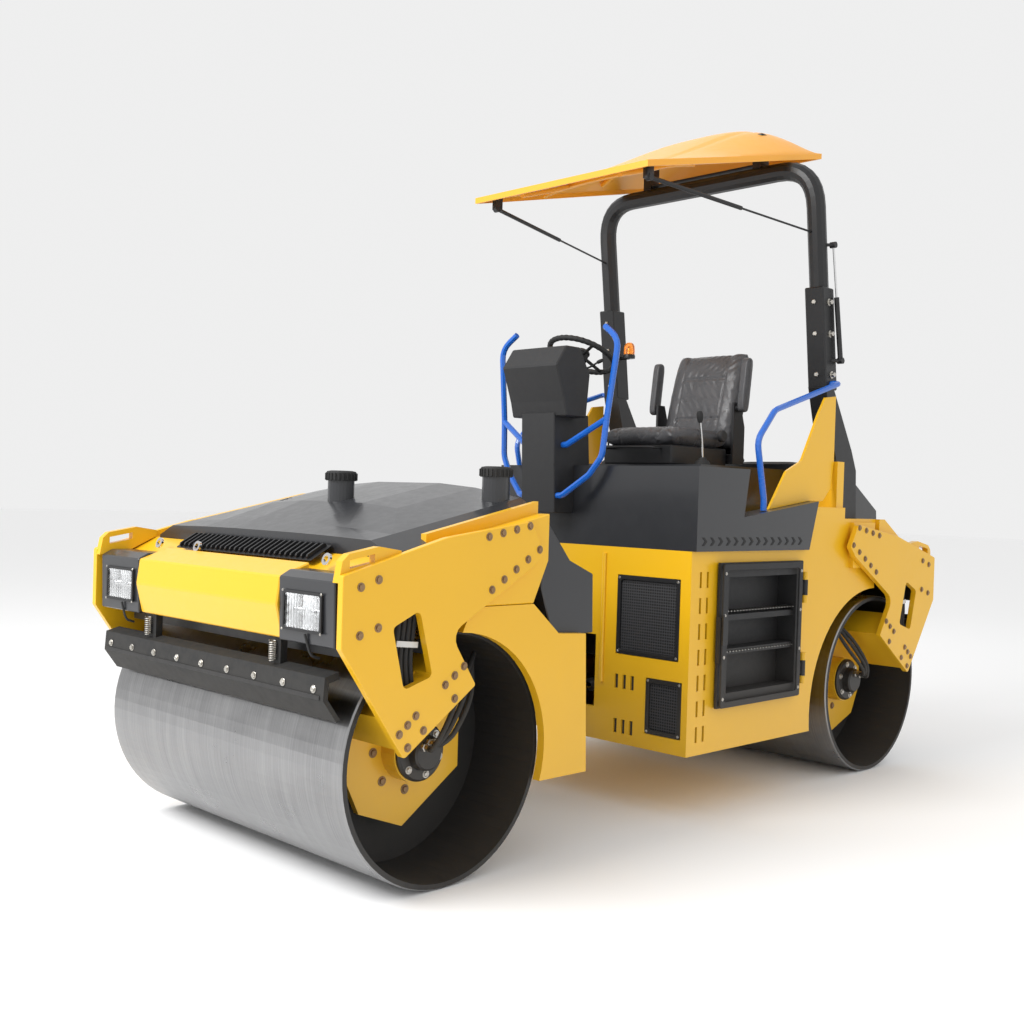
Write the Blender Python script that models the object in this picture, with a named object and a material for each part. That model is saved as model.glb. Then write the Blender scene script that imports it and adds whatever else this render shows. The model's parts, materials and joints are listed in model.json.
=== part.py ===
# Tandem road roller: two steel drums, an articulated frame and an open operator's station.
# Metres. +X is forward, +Y is the machine's left, +Z is up. The origin is on the ground,
# on the centre plane, half-way between the two drum axles.

import math

import bmesh
import bpy
from mathutils import Matrix, Vector

# ---- drums and stance -------------------------------------------------------------------
axle_half = 1.63            # origin to each drum's axle
drum_radius = 0.50
drum_width = 1.70
drum_shell = 0.025          # wall of the rolled drum
drum_web = 0.020            # end plate inside the drum
drum_web_inset = 0.35       # from the drum's edge to the end plate
hub_bore = 0.1006           # bearing bore in the end plate
hub_radius = 0.1000         # stub that the drum turns on
drum_sides = 72

# ---- clearances -------------------------------------------------------------------------
seat_gap = 0.0003           # two fixed pieces that touch
pin_gap = 0.0005            # two moving pieces at a pin
side_gap = 0.050            # drum edge to the yoke plate

# ---- yoke plates ------------------------------------------------------------------------
yoke_plate = 0.030
bearer_plate = 0.030        # plate inside the drum that carries the hub
bearer_inset = 0.245        # drum edge to the bearer plate
motor_radius = 0.125
motor_length = 0.085

# ---- front unit -------------------------------------------------------------------------
tank_clearance = 0.080      # drum top to the tank's underside
hood_slope = 0.2225         # rise of the hood per metre towards the rear
hood_height = 0.828         # drum centre to the hood's front edge
hood_thickness = 0.060
hood_crown = 0.055
neck_reach = 0.39           # steering pin to the neck's rear face
fender_gap = 0.012          # drum edge to the fender
fender_radius = 0.485
bumper_half = 0.530
neck_bottom = 0.435         # drum centre to the neck's underside

# ---- centre joint -----------------------------------------------------------------------
pin_x = 0.43                # steering pin
link_z = 0.65               # oscillation axis
link_boss = 0.085
flange_radius = 0.160
clevis_plate = 0.030
clevis_half = 0.180         # half the clear height of the clevis
clevis_width = 0.32
steer_arm = 0.22            # steering pin to the cylinder's pin

# ---- steering cylinder ------------------------------------------------------------------
cylinder_x = -0.42          # pin on the rear frame
cylinder_y = 0.20
cylinder_z = 0.56
barrel_radius = 0.035
barrel_length = 0.50
rod_radius = 0.0180
rod_bore = 0.0186
rod_overlap = 0.26          # rod inside the barrel at rest
eye_radius = 0.034

# ---- rear body --------------------------------------------------------------------------
body_front = 0.15
body_bottom = 0.31
body_wall = 0.020
deck_rise = 0.275           # drum top to the deck
side_inset = 0.025          # yoke plate's inner face to the body's side
arch_gap = 0.155            # drum to the wheel arch
arch_lead = 0.05            # wheel arch's centre, ahead of and below the axle
arch_drop = 0.105
door_rear = -0.785          # outer frame of the step door
door_front = -0.050
door_bottom = 0.52
door_top_drop = 0.055       # deck to the top of the step door
door_flange = 0.030
door_wall = 0.015
door_depth = 0.105          # how far the steps reach inwards
door_stand_off = 0.005
door_skin = 0.020
rung_half = 0.014

# ---- operator's station -----------------------------------------------------------------
skirt_height = 0.155        # deck edge band
platform_rear = -0.835
rim_height = 0.400          # deck to the top of the front wall
rim_wall = 0.020
low_rim_height = 0.265      # deck to the top of the low right-hand rim
low_rim_start = 0.40        # centre plane to where the rim is low
rim_rear = -0.27
pedestal_front = -0.27
shelf_ahead = 0.40          # rear axle to the housing's upright rear wall
pedestal_half = 0.60
pedestal_height = 0.425     # deck to the pedestal's top
seat_x = -0.51
seat_y = 0.18
seat_width = 0.50
seat_depth = 0.52
seat_base_height = 0.10
cushion_height = 0.10
back_height = 0.585
back_thickness = 0.11
back_lean = math.radians(14)
armrest_length = 0.29
armrest_half = 0.045
armrest_lean = math.radians(7)
wheel_radius = 0.175
wheel_tube = 0.014
wheel_tilt = math.radians(25)
console_front = 0.30
console_half = 0.115
head_half = 0.19
rail_radius = 0.016

# ---- roll-over hoop and canopy ----------------------------------------------------------
hoop_half = 0.74
hoop_radius = 0.051
hoop_bend = 0.22
hoop_lean = math.radians(7.5)
hoop_height = 2.070         # deck to the crossbar's axis
hoop_ahead = 0.045          # housing's rear wall to the sleeve's axis at its base
sleeve_width = 0.115
hood_gap = 0.080            # hoop's centre line to the rear hood's side
sleeve_rise = 0.870         # deck to the sleeve's lower end
sleeve_height = 0.55
canopy_ahead = 1.46         # housing's rear wall to the canopy's front edge
canopy_length = 1.55
canopy_half = 0.60
canopy_front_height = 1.825  # deck to the front edge
canopy_rise = 0.24          # rise per metre towards the rear
canopy_crown = 0.215
canopy_lip = 0.030
canopy_skin = 0.010

# ---- derived places ---------------------------------------------------------------------
drum_half = drum_width / 2
drum_top = 2 * drum_radius
deck_z = drum_top + deck_rise
yoke_inner = drum_half + side_gap
yoke_outer = yoke_inner + yoke_plate
body_half = yoke_inner - seat_gap
arch_radius = drum_radius + arch_gap
shelf_rear = shelf_ahead - axle_half
pedestal_rear = shelf_rear
hoop_foot_x = shelf_rear + hoop_ahead
canopy_front = shelf_rear + canopy_ahead
canopy_rear = canopy_front - canopy_length
shell_half = yoke_inner - side_inset
tank_bottom = drum_top + tank_clearance
floor_z = deck_z + skirt_height
rim_top = deck_z + rim_height
pedestal_top = deck_z + pedestal_height
neck_rear = pin_x + neck_reach
frame_yellow = (0.83, 0.48, 0.02)
panel_grey = (0.075, 0.078, 0.085)


# ---- tools ------------------------------------------------------------------------------
def clear_scene():
    for item in list(bpy.data.objects):
        bpy.data.objects.remove(item, do_unlink=True)


def make_material(name, colour, roughness, metallic):
    material = bpy.data.materials.new(name)
    material.use_nodes = True
    shader = material.node_tree.nodes["Principled BSDF"]
    shader.inputs["Base Color"].default_value = (*colour, 1.0)
    shader.inputs["Roughness"].default_value = roughness
    shader.inputs["Metallic"].default_value = metallic
    return material


def add_object(name, data):
    item = bpy.data.objects.new(name, data)
    bpy.context.scene.collection.objects.link(item)
    return item


def from_bmesh(name, shape):
    bmesh.ops.recalc_face_normals(shape, faces=shape.faces)
    mesh = bpy.data.meshes.new(name)
    shape.to_mesh(mesh)
    shape.free()
    return add_object(name, mesh)


def place(axis, across, along, depth):
    """A point of an outline (across, along) at a depth on the given axis."""
    if axis == "x":
        return (depth, across, along)
    if axis == "y":
        return (across, depth, along)
    return (across, along, depth)


def prism(name, outline, axis, low, high, edge=0.0):
    """An outline pushed along an axis from low to high, with its edges broken by edge."""
    shape = bmesh.new()
    ends = []
    for depth in sorted((low, high)):
        ends.append([shape.verts.new(place(axis, a, b, depth)) for a, b in outline])
    shape.faces.new(ends[0])
    shape.faces.new(reversed(ends[1]))
    count = len(outline)
    for i in range(count):
        j = (i + 1) % count
        shape.faces.new((ends[0][j], ends[0][i], ends[1][i], ends[1][j]))
    bmesh.ops.recalc_face_normals(shape, faces=shape.faces)
    if edge:
        corners = [item for item in shape.edges if item.is_convex]
        bmesh.ops.bevel(shape, geom=corners, offset=edge, segments=1,
                        affect="EDGES", clamp_overlap=True)
    return from_bmesh(name, shape)


def box(name, low, high, edge=0.0):
    outline = [(low[0], low[2]), (high[0], low[2]), (high[0], high[2]), (low[0], high[2])]
    return prism(name, outline, "y", low[1], high[1], edge)


def cylinder(name, centre, radius, length, axis, sides=32, radius_top=None):
    """A cylinder or cone about a direction, its middle at centre."""
    shape = bmesh.new()
    top = radius if radius_top is None else radius_top
    bmesh.ops.create_cone(shape, cap_ends=True, segments=sides, radius1=radius,
                          radius2=top, depth=length)
    turn = Vector((0, 0, 1)).rotation_difference(Vector(axis)).to_matrix().to_4x4()
    bmesh.ops.transform(shape, matrix=Matrix.Translation(centre) @ turn, verts=shape.verts)
    return from_bmesh(name, shape)


def lathe(name, profile, centre, sides):
    """A closed profile of (radius, y) points turned about the Y direction through centre."""
    shape = bmesh.new()
    rings = []
    for i in range(sides):
        angle = 2 * math.pi * i / sides
        ring = []
        for radius, y in profile:
            x = centre[0] + radius * math.cos(angle)
            z = centre[2] + radius * math.sin(angle)
            ring.append(shape.verts.new((x, centre[1] + y, z)))
        rings.append(ring)
    for i in range(sides):
        here, there = rings[i], rings[(i + 1) % sides]
        for j in range(len(profile)):
            k = (j + 1) % len(profile)
            shape.faces.new((here[j], here[k], there[k], there[j]))
    return from_bmesh(name, shape)


def rounded(points, steps=4):
    """An outline from (a, b, radius) corners, each corner with a radius made an arc."""
    outline = []
    count = len(points)
    for i, (a, b, radius) in enumerate(points):
        here = Vector((a, b))
        if not radius:
            outline.append((a, b))
            continue
        before = (Vector(points[i - 1][:2]) - here).normalized()
        after = (Vector(points[(i + 1) % count][:2]) - here).normalized()
        half = before.angle(after) / 2
        centre = here + (before + after).normalized() * (radius / math.sin(half))
        start = here + before * (radius / math.tan(half)) - centre
        stop = here + after * (radius / math.tan(half)) - centre
        sweep = start.angle_signed(stop)
        for step in range(steps + 1):
            arm = start.copy()
            arm.rotate(Matrix.Rotation(-sweep * step / steps, 2))
            outline.append(tuple(centre + arm))
    return outline


def bent_path(corners, radius, steps=4):
    """Straight runs between corners with each inner corner bent to a radius."""
    points = [Vector(corners[0])]
    for i in range(1, len(corners) - 1):
        here = Vector(corners[i])
        before = Vector(corners[i - 1]) - here
        after = Vector(corners[i + 1]) - here
        half = before.angle(after) / 2
        reach = min(radius / math.tan(half), before.length * 0.48, after.length * 0.48)
        start = here + before.normalized() * reach
        stop = here + after.normalized() * reach
        for step in range(steps + 1):
            t = step / steps
            points.append((1 - t) ** 2 * start + 2 * t * (1 - t) * here + t ** 2 * stop)
    points.append(Vector(corners[-1]))
    return points


def tube(name, points, radius, resolution=2):
    """A round bar along points, with flat ends, as a mesh."""
    curve = bpy.data.curves.new(name, "CURVE")
    curve.dimensions = "3D"
    curve.bevel_depth = radius
    curve.bevel_resolution = resolution
    curve.use_fill_caps = True
    spline = curve.splines.new("POLY")
    spline.points.add(len(points) - 1)
    for spot, point in zip(spline.points, points):
        spot.co = (*point, 1.0)
    item = add_object(name, curve)
    bpy.context.view_layer.update()
    mesh = bpy.data.meshes.new_from_object(item.evaluated_get(bpy.context.evaluated_depsgraph_get()))
    bpy.data.objects.remove(item)
    shape = bmesh.new()
    shape.from_mesh(mesh)
    bmesh.ops.remove_doubles(shape, verts=shape.verts, dist=0.00001)
    return from_bmesh(name, shape)


def combine(target, tools, operation="UNION"):
    """Join, or cut away, each tool and delete it."""
    for tool in tools:
        modifier = target.modifiers.new("combine", "BOOLEAN")
        modifier.operation = operation
        modifier.solver = "EXACT"
        modifier.object = tool
        bpy.context.view_layer.update()
        result = target.evaluated_get(bpy.context.evaluated_depsgraph_get())
        mesh = bpy.data.meshes.new_from_object(result)
        target.modifiers.clear()
        target.data = mesh
        bpy.data.objects.remove(tool)
    return target


def merge(name, pieces):
    """Several separate meshes as one object, used as one cutter."""
    shape = bmesh.new()
    for piece in pieces:
        shape.from_mesh(piece.data)
        bpy.data.objects.remove(piece)
    return from_bmesh(name, shape)


def finish(item, material, carrier=None, smooth=True):
    item.data.name = item.name
    item.data.materials.clear()
    item.data.materials.append(material)
    if smooth:
        item.data.shade_smooth()
        item.data.set_sharp_from_angle(angle=math.radians(35))
    if carrier is not None:
        item.parent = carrier
        item.matrix_parent_inverse = carrier.matrix_world.inverted()
    return item


def make_axis(name, place_at, carrier=None):
    """An empty on a joint's axis, which carries the pieces that move about it."""
    item = add_object(name, None)
    item.empty_display_size = 0.1
    item.location = place_at
    bpy.context.view_layer.update()
    if carrier is not None:
        item.parent = carrier
        item.matrix_parent_inverse = carrier.matrix_world.inverted()
        bpy.context.view_layer.update()
    return item


# ---- pieces that both ends share --------------------------------------------------------
def end_point(facing, dx, dz):
    """A point given from a drum's centre, dx outwards from the machine's middle."""
    return (facing * (axle_half + dx), drum_radius + dz)


def end_outline(facing, points):
    return [end_point(facing, dx, dz) for dx, dz in points]


yoke_corners = [
    (0.576, 0.463, 0.0), (0.576, 0.717, 0.012), (0.101, 0.847, 0.30), (-0.345, 0.910, 0.030),
    (-0.420, 0.787, 0.015), (-0.368, 0.734, 0.0), (0.068, 0.487, 0.055), (-0.065, 0.286, 0.010),
    (0.282, 0.046, 0.015),
]
window_corners = [
    (0.350, 0.526, 0.020), (0.225, 0.583, 0.020), (0.157, 0.338, 0.020), (0.292, 0.298, 0.020),
]
lug_corners = [
    (0.576, 0.690, 0.0), (0.562, 0.765, 0.0), (0.535, 0.790, 0.015), (0.400, 0.815, 0.015),
    (0.300, 0.800, 0.0), (0.300, 0.7725, 0.0), (0.440, 0.7045, 0.0),
]
lug_slot = [(0.530, 0.768), (0.420, 0.789), (0.420, 0.760), (0.530, 0.739)]
bearer_outline = [
    (0.010, -0.310), (0.225, -0.230), (0.300, -0.080), (0.300, 0.120), (0.100, 0.300),
    (-0.120, 0.300), (-0.280, 0.140), (-0.280, -0.110),
]
arm_outline = [(-0.045, 0.290), (0.272, 0.070), (0.370, 0.200), (0.090, 0.400)]


def make_yoke(name, facing, side):
    """A yoke plate with its lifting lug, and the arm, bearer plate, hub and motor inside."""
    plate = prism(name, end_outline(facing, rounded(yoke_corners)), "y",
                  side * yoke_inner, side * yoke_outer, edge=0.003)
    inner_skin = side * (yoke_inner - 0.030)
    lug = prism("lug", end_outline(facing, rounded(lug_corners)), "y",
                inner_skin, side * (yoke_inner + 0.005))
    bearer_y = drum_half - bearer_inset
    arm = prism("arm", end_outline(facing, arm_outline), "y",
                side * (bearer_y - 0.010), side * (yoke_inner + 0.010))
    bearer = prism("bearer", end_outline(facing, bearer_outline), "y",
                   side * (bearer_y - bearer_plate), side * bearer_y)
    hub_x, hub_z = end_point(facing, 0.0, 0.0)
    web_inner = drum_half - drum_web_inset - drum_web - 0.030
    hub_length = bearer_y - bearer_plate / 2 - web_inner
    hub = cylinder("hub", (hub_x, side * (web_inner + hub_length / 2), hub_z),
                   hub_radius, hub_length, (0, 1, 0), drum_sides)
    motor = cylinder("motor", (hub_x, side * (bearer_y + motor_length / 2 - 0.005), hub_z),
                     motor_radius, motor_length, (0, 1, 0), 32)
    combine(plate, [lug, arm, bearer, hub, motor])
    window = prism("window", end_outline(facing, rounded(window_corners)), "y",
                   side * (yoke_inner - 0.060), side * (yoke_outer + 0.02))
    slot = prism("slot", end_outline(facing, lug_slot), "y",
                 side * (yoke_inner - 0.060), side * (yoke_outer + 0.02))
    return combine(plate, [window, slot], "DIFFERENCE")


def make_drum(name, facing):
    """A drum: rolled shell with two end plates, open through their bearing bores."""
    inner = drum_radius - drum_shell
    web_out = drum_half - drum_web_inset
    web_in = web_out - drum_web
    half = [
        (drum_radius - 0.006, drum_half), (inner, drum_half), (inner, web_out),
        (hub_bore, web_out), (hub_bore, web_in), (inner, web_in),
    ]
    profile = [(drum_radius, drum_half - 0.006)] + half
    profile += [(radius, -y) for radius, y in reversed(half)] + [(drum_radius, 0.006 - drum_half)]
    return lathe(name, profile, (facing * axle_half, 0.0, drum_radius), drum_sides)


def make_bumper(name, facing):
    """The folded beam across the machine's end."""
    outline = [(0.430, 0.460), (0.545, 0.460), (0.576, 0.585), (0.562, 0.690), (0.430, 0.738)]
    return prism(name, end_outline(facing, outline), "y", -bumper_half, bumper_half, edge=0.005)


def make_light(name, facing, side):
    """A head lamp's housing beside the bumper, with the lens recess in its face."""
    outline = [(0.430, 0.457), (0.560, 0.457), (0.566, 0.690), (0.520, 0.715), (0.430, 0.715)]
    inner = side * (bumper_half + seat_gap)
    outer = side * (yoke_inner - 0.0315)
    housing = prism(name, end_outline(facing, outline), "y", inner, outer, edge=0.004)
    face_x = facing * (axle_half + 0.552)
    beyond_x = facing * (axle_half + 0.600)
    low = (min(face_x, beyond_x), min(side * 0.570, side * 0.800), drum_radius + 0.505)
    high = (max(face_x, beyond_x), max(side * 0.570, side * 0.800), drum_radius + 0.640)
    return combine(housing, [box("recess", low, high)], "DIFFERENCE")


def make_scraper(name, facing):
    """A folded bar with its rubber blade just clear of the drum, hung below the bumper."""
    outline = [
        (0.500, 0.368), (0.560, 0.352), (0.566, 0.270), (0.505, 0.188), (0.488, 0.196),
        (0.545, 0.272), (0.542, 0.330), (0.497, 0.342),
    ]
    reach = drum_half - 0.030
    bar = prism(name, end_outline(facing, outline), "y", -reach, reach)
    hangers = []
    for side in (-1, 1):
        top = 0.460 - seat_gap
        hanger = [(0.500, 0.350), (0.530, 0.350), (0.530, top), (0.500, top)]
        hangers.append(prism("hanger", end_outline(facing, hanger), "y",
                             side * 0.430, side * 0.500))
    return combine(bar, hangers)


# ---- front unit -------------------------------------------------------------------------
def hood_line(x):
    """Height of the hood's side edge at a place along the machine."""
    front_edge = axle_half + 0.300
    return drum_radius + hood_height + hood_slope * (front_edge - x)


hood_front = axle_half + 0.300
hood_rear = axle_half - 0.480
cheek_front = axle_half + 0.120
cheek_inner = yoke_inner - 0.100


def make_hood(name):
    """The water tank's cover: a low crowned roof with sloping sides and two caps."""
    half_low = yoke_inner - 0.060
    half_top = yoke_inner - 0.175
    shape = bmesh.new()
    rings = []
    for x in (hood_front, hood_front - 0.10, hood_front - 0.35, hood_rear + 0.02, hood_rear):
        edge = hood_line(x)
        blend = min(1.0, (hood_front - x) / 0.35)
        crown = hood_crown * (0.15 + 0.85 * blend)
        under = edge - hood_thickness
        line = [(half_low, under), (half_low, edge - 0.048), (half_top, edge),
                (half_top * 0.62, edge + crown * 0.70), (half_top * 0.30, edge + crown)]
        line += [(-y, z) for y, z in reversed(line)]
        rings.append([shape.verts.new((x, y, z)) for y, z in line])
    for here, there in zip(rings, rings[1:]):
        for i in range(len(here)):
            j = (i + 1) % len(here)
            shape.faces.new((here[i], here[j], there[j], there[i]))
    shape.faces.new(rings[0])
    shape.faces.new(reversed(rings[-1]))
    hood = from_bmesh(name, shape)
    cheek_room = []
    for side in (-1, 1):
        inner = side * (cheek_inner - seat_gap)
        outer = side * (yoke_inner + 0.1)
        low = (hood_rear - 0.1, min(inner, outer), drum_radius)
        high = (cheek_front + seat_gap, max(inner, outer), drum_radius + 2.0)
        cheek_room.append(box("room", low, high))
    combine(hood, [merge("rooms", cheek_room)], "DIFFERENCE")
    caps = []
    spots = ((axle_half - 0.10, 0.0, 0.080), (hood_rear + 0.075, 0.655, 0.045))
    for x, y, rise in spots:
        radius = 0.058
        base = hood_line(x) - 0.02
        height = 0.02 + hood_crown + rise
        caps.append(cylinder("cap", (x, y, base + height / 2), radius, height, (0, 0, 1), 24))
    return combine(hood, caps)


def make_tank(name):
    """The front frame over the drum, with the raised cheeks beside the hood."""
    front = axle_half + 0.430 - seat_gap
    under = tank_bottom - drum_radius
    lid = hood_thickness + seat_gap

    def roof(x):
        return hood_line(x) - lid

    outline = [
        (front, drum_radius + under), (front, drum_radius + 0.700),
        (hood_front, roof(hood_front)), (hood_rear, roof(hood_rear)),
        (hood_rear, drum_radius + under + 0.17), (hood_rear + 0.08, drum_radius + under),
    ]
    tank = prism(name, outline, "y", -body_half, body_half, edge=0.004)
    cheeks = []
    for side in (-1, 1):
        crest = [
            (cheek_front, roof(cheek_front) - 0.02), (cheek_front, hood_line(cheek_front) - 0.012),
            (hood_rear, hood_line(hood_rear) - 0.012), (hood_rear, roof(hood_rear) - 0.02),
        ]
        cheeks.append(prism("cheek", crest, "y", side * cheek_inner, side * (cheek_inner + 0.030)))
    return combine(tank, cheeks)


def make_neck(name):
    """The housing behind the front drum, with the post that carries the oscillation flange."""
    half = drum_half + fender_gap - seat_gap
    front = hood_rear - seat_gap
    under = drum_radius + neck_bottom
    outline = [
        (front, hood_line(front) - hood_thickness), (neck_rear + 0.157, drum_radius + 0.746),
        (neck_rear + 0.010, drum_radius + 0.686), (neck_rear, under),
        (neck_rear + 0.256, under), (front, drum_radius + 0.640),
    ]
    neck = prism(name, outline, "y", -half, half, edge=0.004)
    post_front = axle_half - drum_radius - 0.060
    post = box("post", (neck_rear, -0.30, link_z - 0.25), (post_front, 0.30, under + 0.05))
    back = pin_x + 0.300 + pin_gap
    flange = cylinder("flange", ((back + neck_rear + 0.01) / 2, 0, link_z), flange_radius,
                      neck_rear + 0.01 - back, (1, 0, 0), 40)
    return combine(neck, [post, flange])


def make_fender(name, side):
    """The side plate behind the front drum, its edge concentric with the drum."""
    inner = side * (drum_half + fender_gap)
    outer = side * body_half
    rear = neck_rear + 0.062
    outline = [
        (rear, 0.355), (rear + 0.027, drum_radius + 0.440), (axle_half - 0.554, drum_radius + 0.450),
        (axle_half - 0.400, drum_radius + 0.578), (axle_half - 0.060, drum_radius + 0.578),
    ]
    start = math.radians(92)
    stop = math.pi + math.asin((drum_radius - 0.355) / fender_radius)
    steps = 20
    for i in range(steps + 1):
        angle = start + (stop - start) * i / steps
        outline.append((axle_half + fender_radius * math.cos(angle),
                        drum_radius + fender_radius * math.sin(angle)))
    return prism(name, outline, "y", inner, outer)


def make_link(name):
    """The centre link: pin boss, beam, oscillation flange and steering arm."""
    half = clevis_half - pin_gap
    boss = cylinder(name, (pin_x, 0, link_z), link_boss, 2 * half, (0, 0, 1), 40)
    beam = box("beam", (pin_x + 0.02, -0.070, link_z - 0.120),
               (pin_x + 0.290, 0.070, link_z + 0.120))
    flange = cylinder("flange", (pin_x + 0.285, 0, link_z), flange_radius, 0.030, (1, 0, 0), 40)
    arm_top = cylinder_z - barrel_radius - pin_gap
    arm = box("arm", (pin_x - 0.035, 0.0, arm_top - 0.030), (pin_x + 0.035, steer_arm, arm_top))
    tip = cylinder("tip", (pin_x, steer_arm, arm_top - 0.015), 0.035, 0.030, (0, 0, 1), 24)
    return combine(boss, [beam, flange, arm, tip])


# ---- rear unit --------------------------------------------------------------------------
def deck_edge(z):
    """Where the platform's slanted rear edge lies at a height."""
    return platform_rear - 0.080 * (z - deck_z) / 0.255


def make_body(name):
    """The engine housing: a hollow shell with its wheel arch, door openings and rear frame."""
    top = deck_z - seat_gap
    shelf = deck_z + 0.225
    pad_z = deck_z + 0.165
    rear = -(axle_half + 0.430 - seat_gap)
    outline = [
        (body_front, body_bottom), (body_front, top), (deck_edge(top) - 0.0005, top),
        (deck_edge(shelf) - 0.0005, shelf), (shelf_rear, shelf), (shelf_rear, pad_z),
        (shelf_rear - 0.38, pad_z), (shelf_rear - 0.38, body_bottom),
    ]
    shell = prism(name, outline, "y", -shell_half, shell_half)
    wall = body_wall
    centre_x = arch_lead - axle_half
    centre_z = drum_radius - arch_drop
    liner = arch_radius + wall
    inside = [
        (body_front - wall, body_bottom + wall), (body_front - wall, top - wall),
        (deck_edge(top) - wall, top - wall), (deck_edge(shelf) - wall, shelf - wall),
        (shelf_rear + wall, shelf - wall),
    ]
    first = math.acos((shelf_rear + wall - centre_x) / liner)
    last = math.asin((body_bottom + wall - centre_z) / liner)
    for i in range(9):
        angle = first + (last - first) * i / 8
        inside.append((centre_x + liner * math.cos(angle), centre_z + liner * math.sin(angle)))
    hollow = prism("hollow", inside, "y", wall - shell_half, shell_half - wall)
    arch = cylinder("arch", (centre_x, 0, centre_z), arch_radius, 3 * drum_width,
                    (0, 1, 0), drum_sides)
    behind = box("behind", (-3, -2, 0), (centre_x, 2, tank_bottom))
    combine(shell, [hollow, arch, behind], "DIFFERENCE")
    seam = shelf_rear - 0.34
    rear_frame = [
        (seam, tank_bottom), (seam, pad_z), (seam - 0.06, pad_z),
        (-hood_front, drum_radius + 0.768), (rear, drum_radius + 0.700), (rear, tank_bottom),
    ]
    additions = [prism("rear frame", rear_frame, "y", -body_half, body_half)]
    for side in (-1, 1):
        inner, outer = sorted((side * (pedestal_half + 0.10), side * (shell_half - 0.015)))
        additions.append(box("post", (shelf_rear, inner, shelf - 0.03),
                             (shelf_rear + 0.07, outer, deck_z + 0.475)))
        inner, outer = sorted((side * (shell_half - 0.08), side * body_half))
        additions.append(box("seat pad", (-axle_half + 0.34, inner, tank_bottom + 0.09),
                             (seam + 0.05, outer, pad_z - 0.02)))
    for x in (engine_rear + 0.07, -0.30):
        for side in (-1, 1):
            inner, outer = sorted((side * 0.280, side * 0.340))
            additions.append(box("engine leg", (x - 0.03, inner, body_bottom + 0.010),
                                 (x + 0.03, outer, engine_bottom - seat_gap)))
    additions.append(box("stand", (cylinder_x - 0.04, cylinder_y - 0.05, body_bottom + 0.01),
                         (cylinder_x + 0.04, cylinder_y + 0.05,
                          cylinder_z - barrel_radius - pin_gap)))
    combine(shell, additions)
    return cut_body(shell)


engine_bottom = drum_radius + 0.16
engine_ahead = 0.029         # wheel arch's lining to the engine
arch_liner = arch_radius + body_wall
engine_rear = (arch_lead - axle_half + engine_ahead
               + math.sqrt(arch_liner ** 2 - (engine_bottom - drum_radius + arch_drop) ** 2))
door_top = deck_z - door_top_drop
opening_half = 0.30


def cut_body(shell):
    """Door openings, the joint's opening, and the pockets for grilles and slots."""
    cutters = []
    margin = 0.030
    for side in (-1, 1):
        inner, outer = sorted((side * (shell_half - 0.04), side * (shell_half + 0.04)))
        cutters.append(box("door", (door_rear + margin - 0.005, inner, door_bottom + margin),
                           (door_front - margin, outer, door_top - margin)))
    cutters.append(box("way", (body_front - 0.05, -opening_half, link_z - clevis_half),
                       (body_front + 0.05, opening_half, link_z + clevis_half)))
    pocket = body_front - 0.012
    beyond = body_front + 0.05
    for side in (-1, 1):
        for inner, outer, low, high in ((0.430, 0.815, 0.750, 1.140), (0.625, 0.840, 0.385, 0.655)):
            near, far = sorted((side * inner, side * outer))
            cutters.append(box("grille", (pocket, near, low), (beyond, far, high)))
        for low in (0.580, 0.360):
            for y in (0.440, 0.490, 0.540):
                near, far = sorted((side * (y - 0.011), side * (y + 0.011)))
                cutters.append(box("slot", (pocket, near, low), (beyond, far, low + 0.070)))
        near, far = sorted((side * (shell_half - 0.012), side * (shell_half + 0.05)))
        for row in range(7):
            low = 0.370 + 0.122 * row
            for x in (body_front - 0.075, body_front - 0.130):
                cutters.append(box("slot", (x - 0.008, near, low), (x + 0.008, far, low + 0.075)))
    combine(shell, [merge("cutters", cutters)], "DIFFERENCE")
    lugs = []
    for side in (-1, 1):
        for z in (door_bottom + 0.14, door_top - 0.14):
            for drop in (-0.0805, 0.0405):
                lugs.append(make_lug(side, z + drop))
    return combine(shell, lugs)


def make_clevis(name):
    """The steering joint's fork: a back plate on the body with two rounded lugs."""
    rear = body_front + seat_gap
    margin = 0.030 + clevis_plate
    fork = box(name, (rear, -0.13, link_z - clevis_half - margin),
               (rear + 0.022, 0.13, link_z + clevis_half + margin))
    lugs = []
    for z in (link_z + clevis_half, link_z - clevis_half - clevis_plate):
        half = clevis_width / 2
        plate = rounded([(rear + 0.010, -0.125, 0), (pin_x - 0.02, -half, 0.03),
                         (pin_x + 0.10, -half, 0.10), (pin_x + 0.10, half, 0.10),
                         (pin_x - 0.02, half, 0.03), (rear + 0.010, 0.125, 0)])
        lugs.append(prism("lug", plate, "z", z, z + clevis_plate))
    return combine(fork, lugs)


hinge_x = door_rear - 0.020
hinge_y = shell_half + door_stand_off + door_skin
hinge_radius = 0.014


def make_lug(side, low):
    """A hinge lug on the body's side, with its round end on the door's hinge axis."""
    inner, outer = sorted((side * (shell_half - 0.010), side * hinge_y))
    block = box("lug", (hinge_x - hinge_radius, inner, low), (hinge_x + hinge_radius, outer, low + 0.040))
    knuckle = cylinder("knuckle", (hinge_x, side * hinge_y, low + 0.020), hinge_radius + 0.002,
                       0.040, (0, 0, 1), 16)
    return combine(block, [knuckle])


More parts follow.
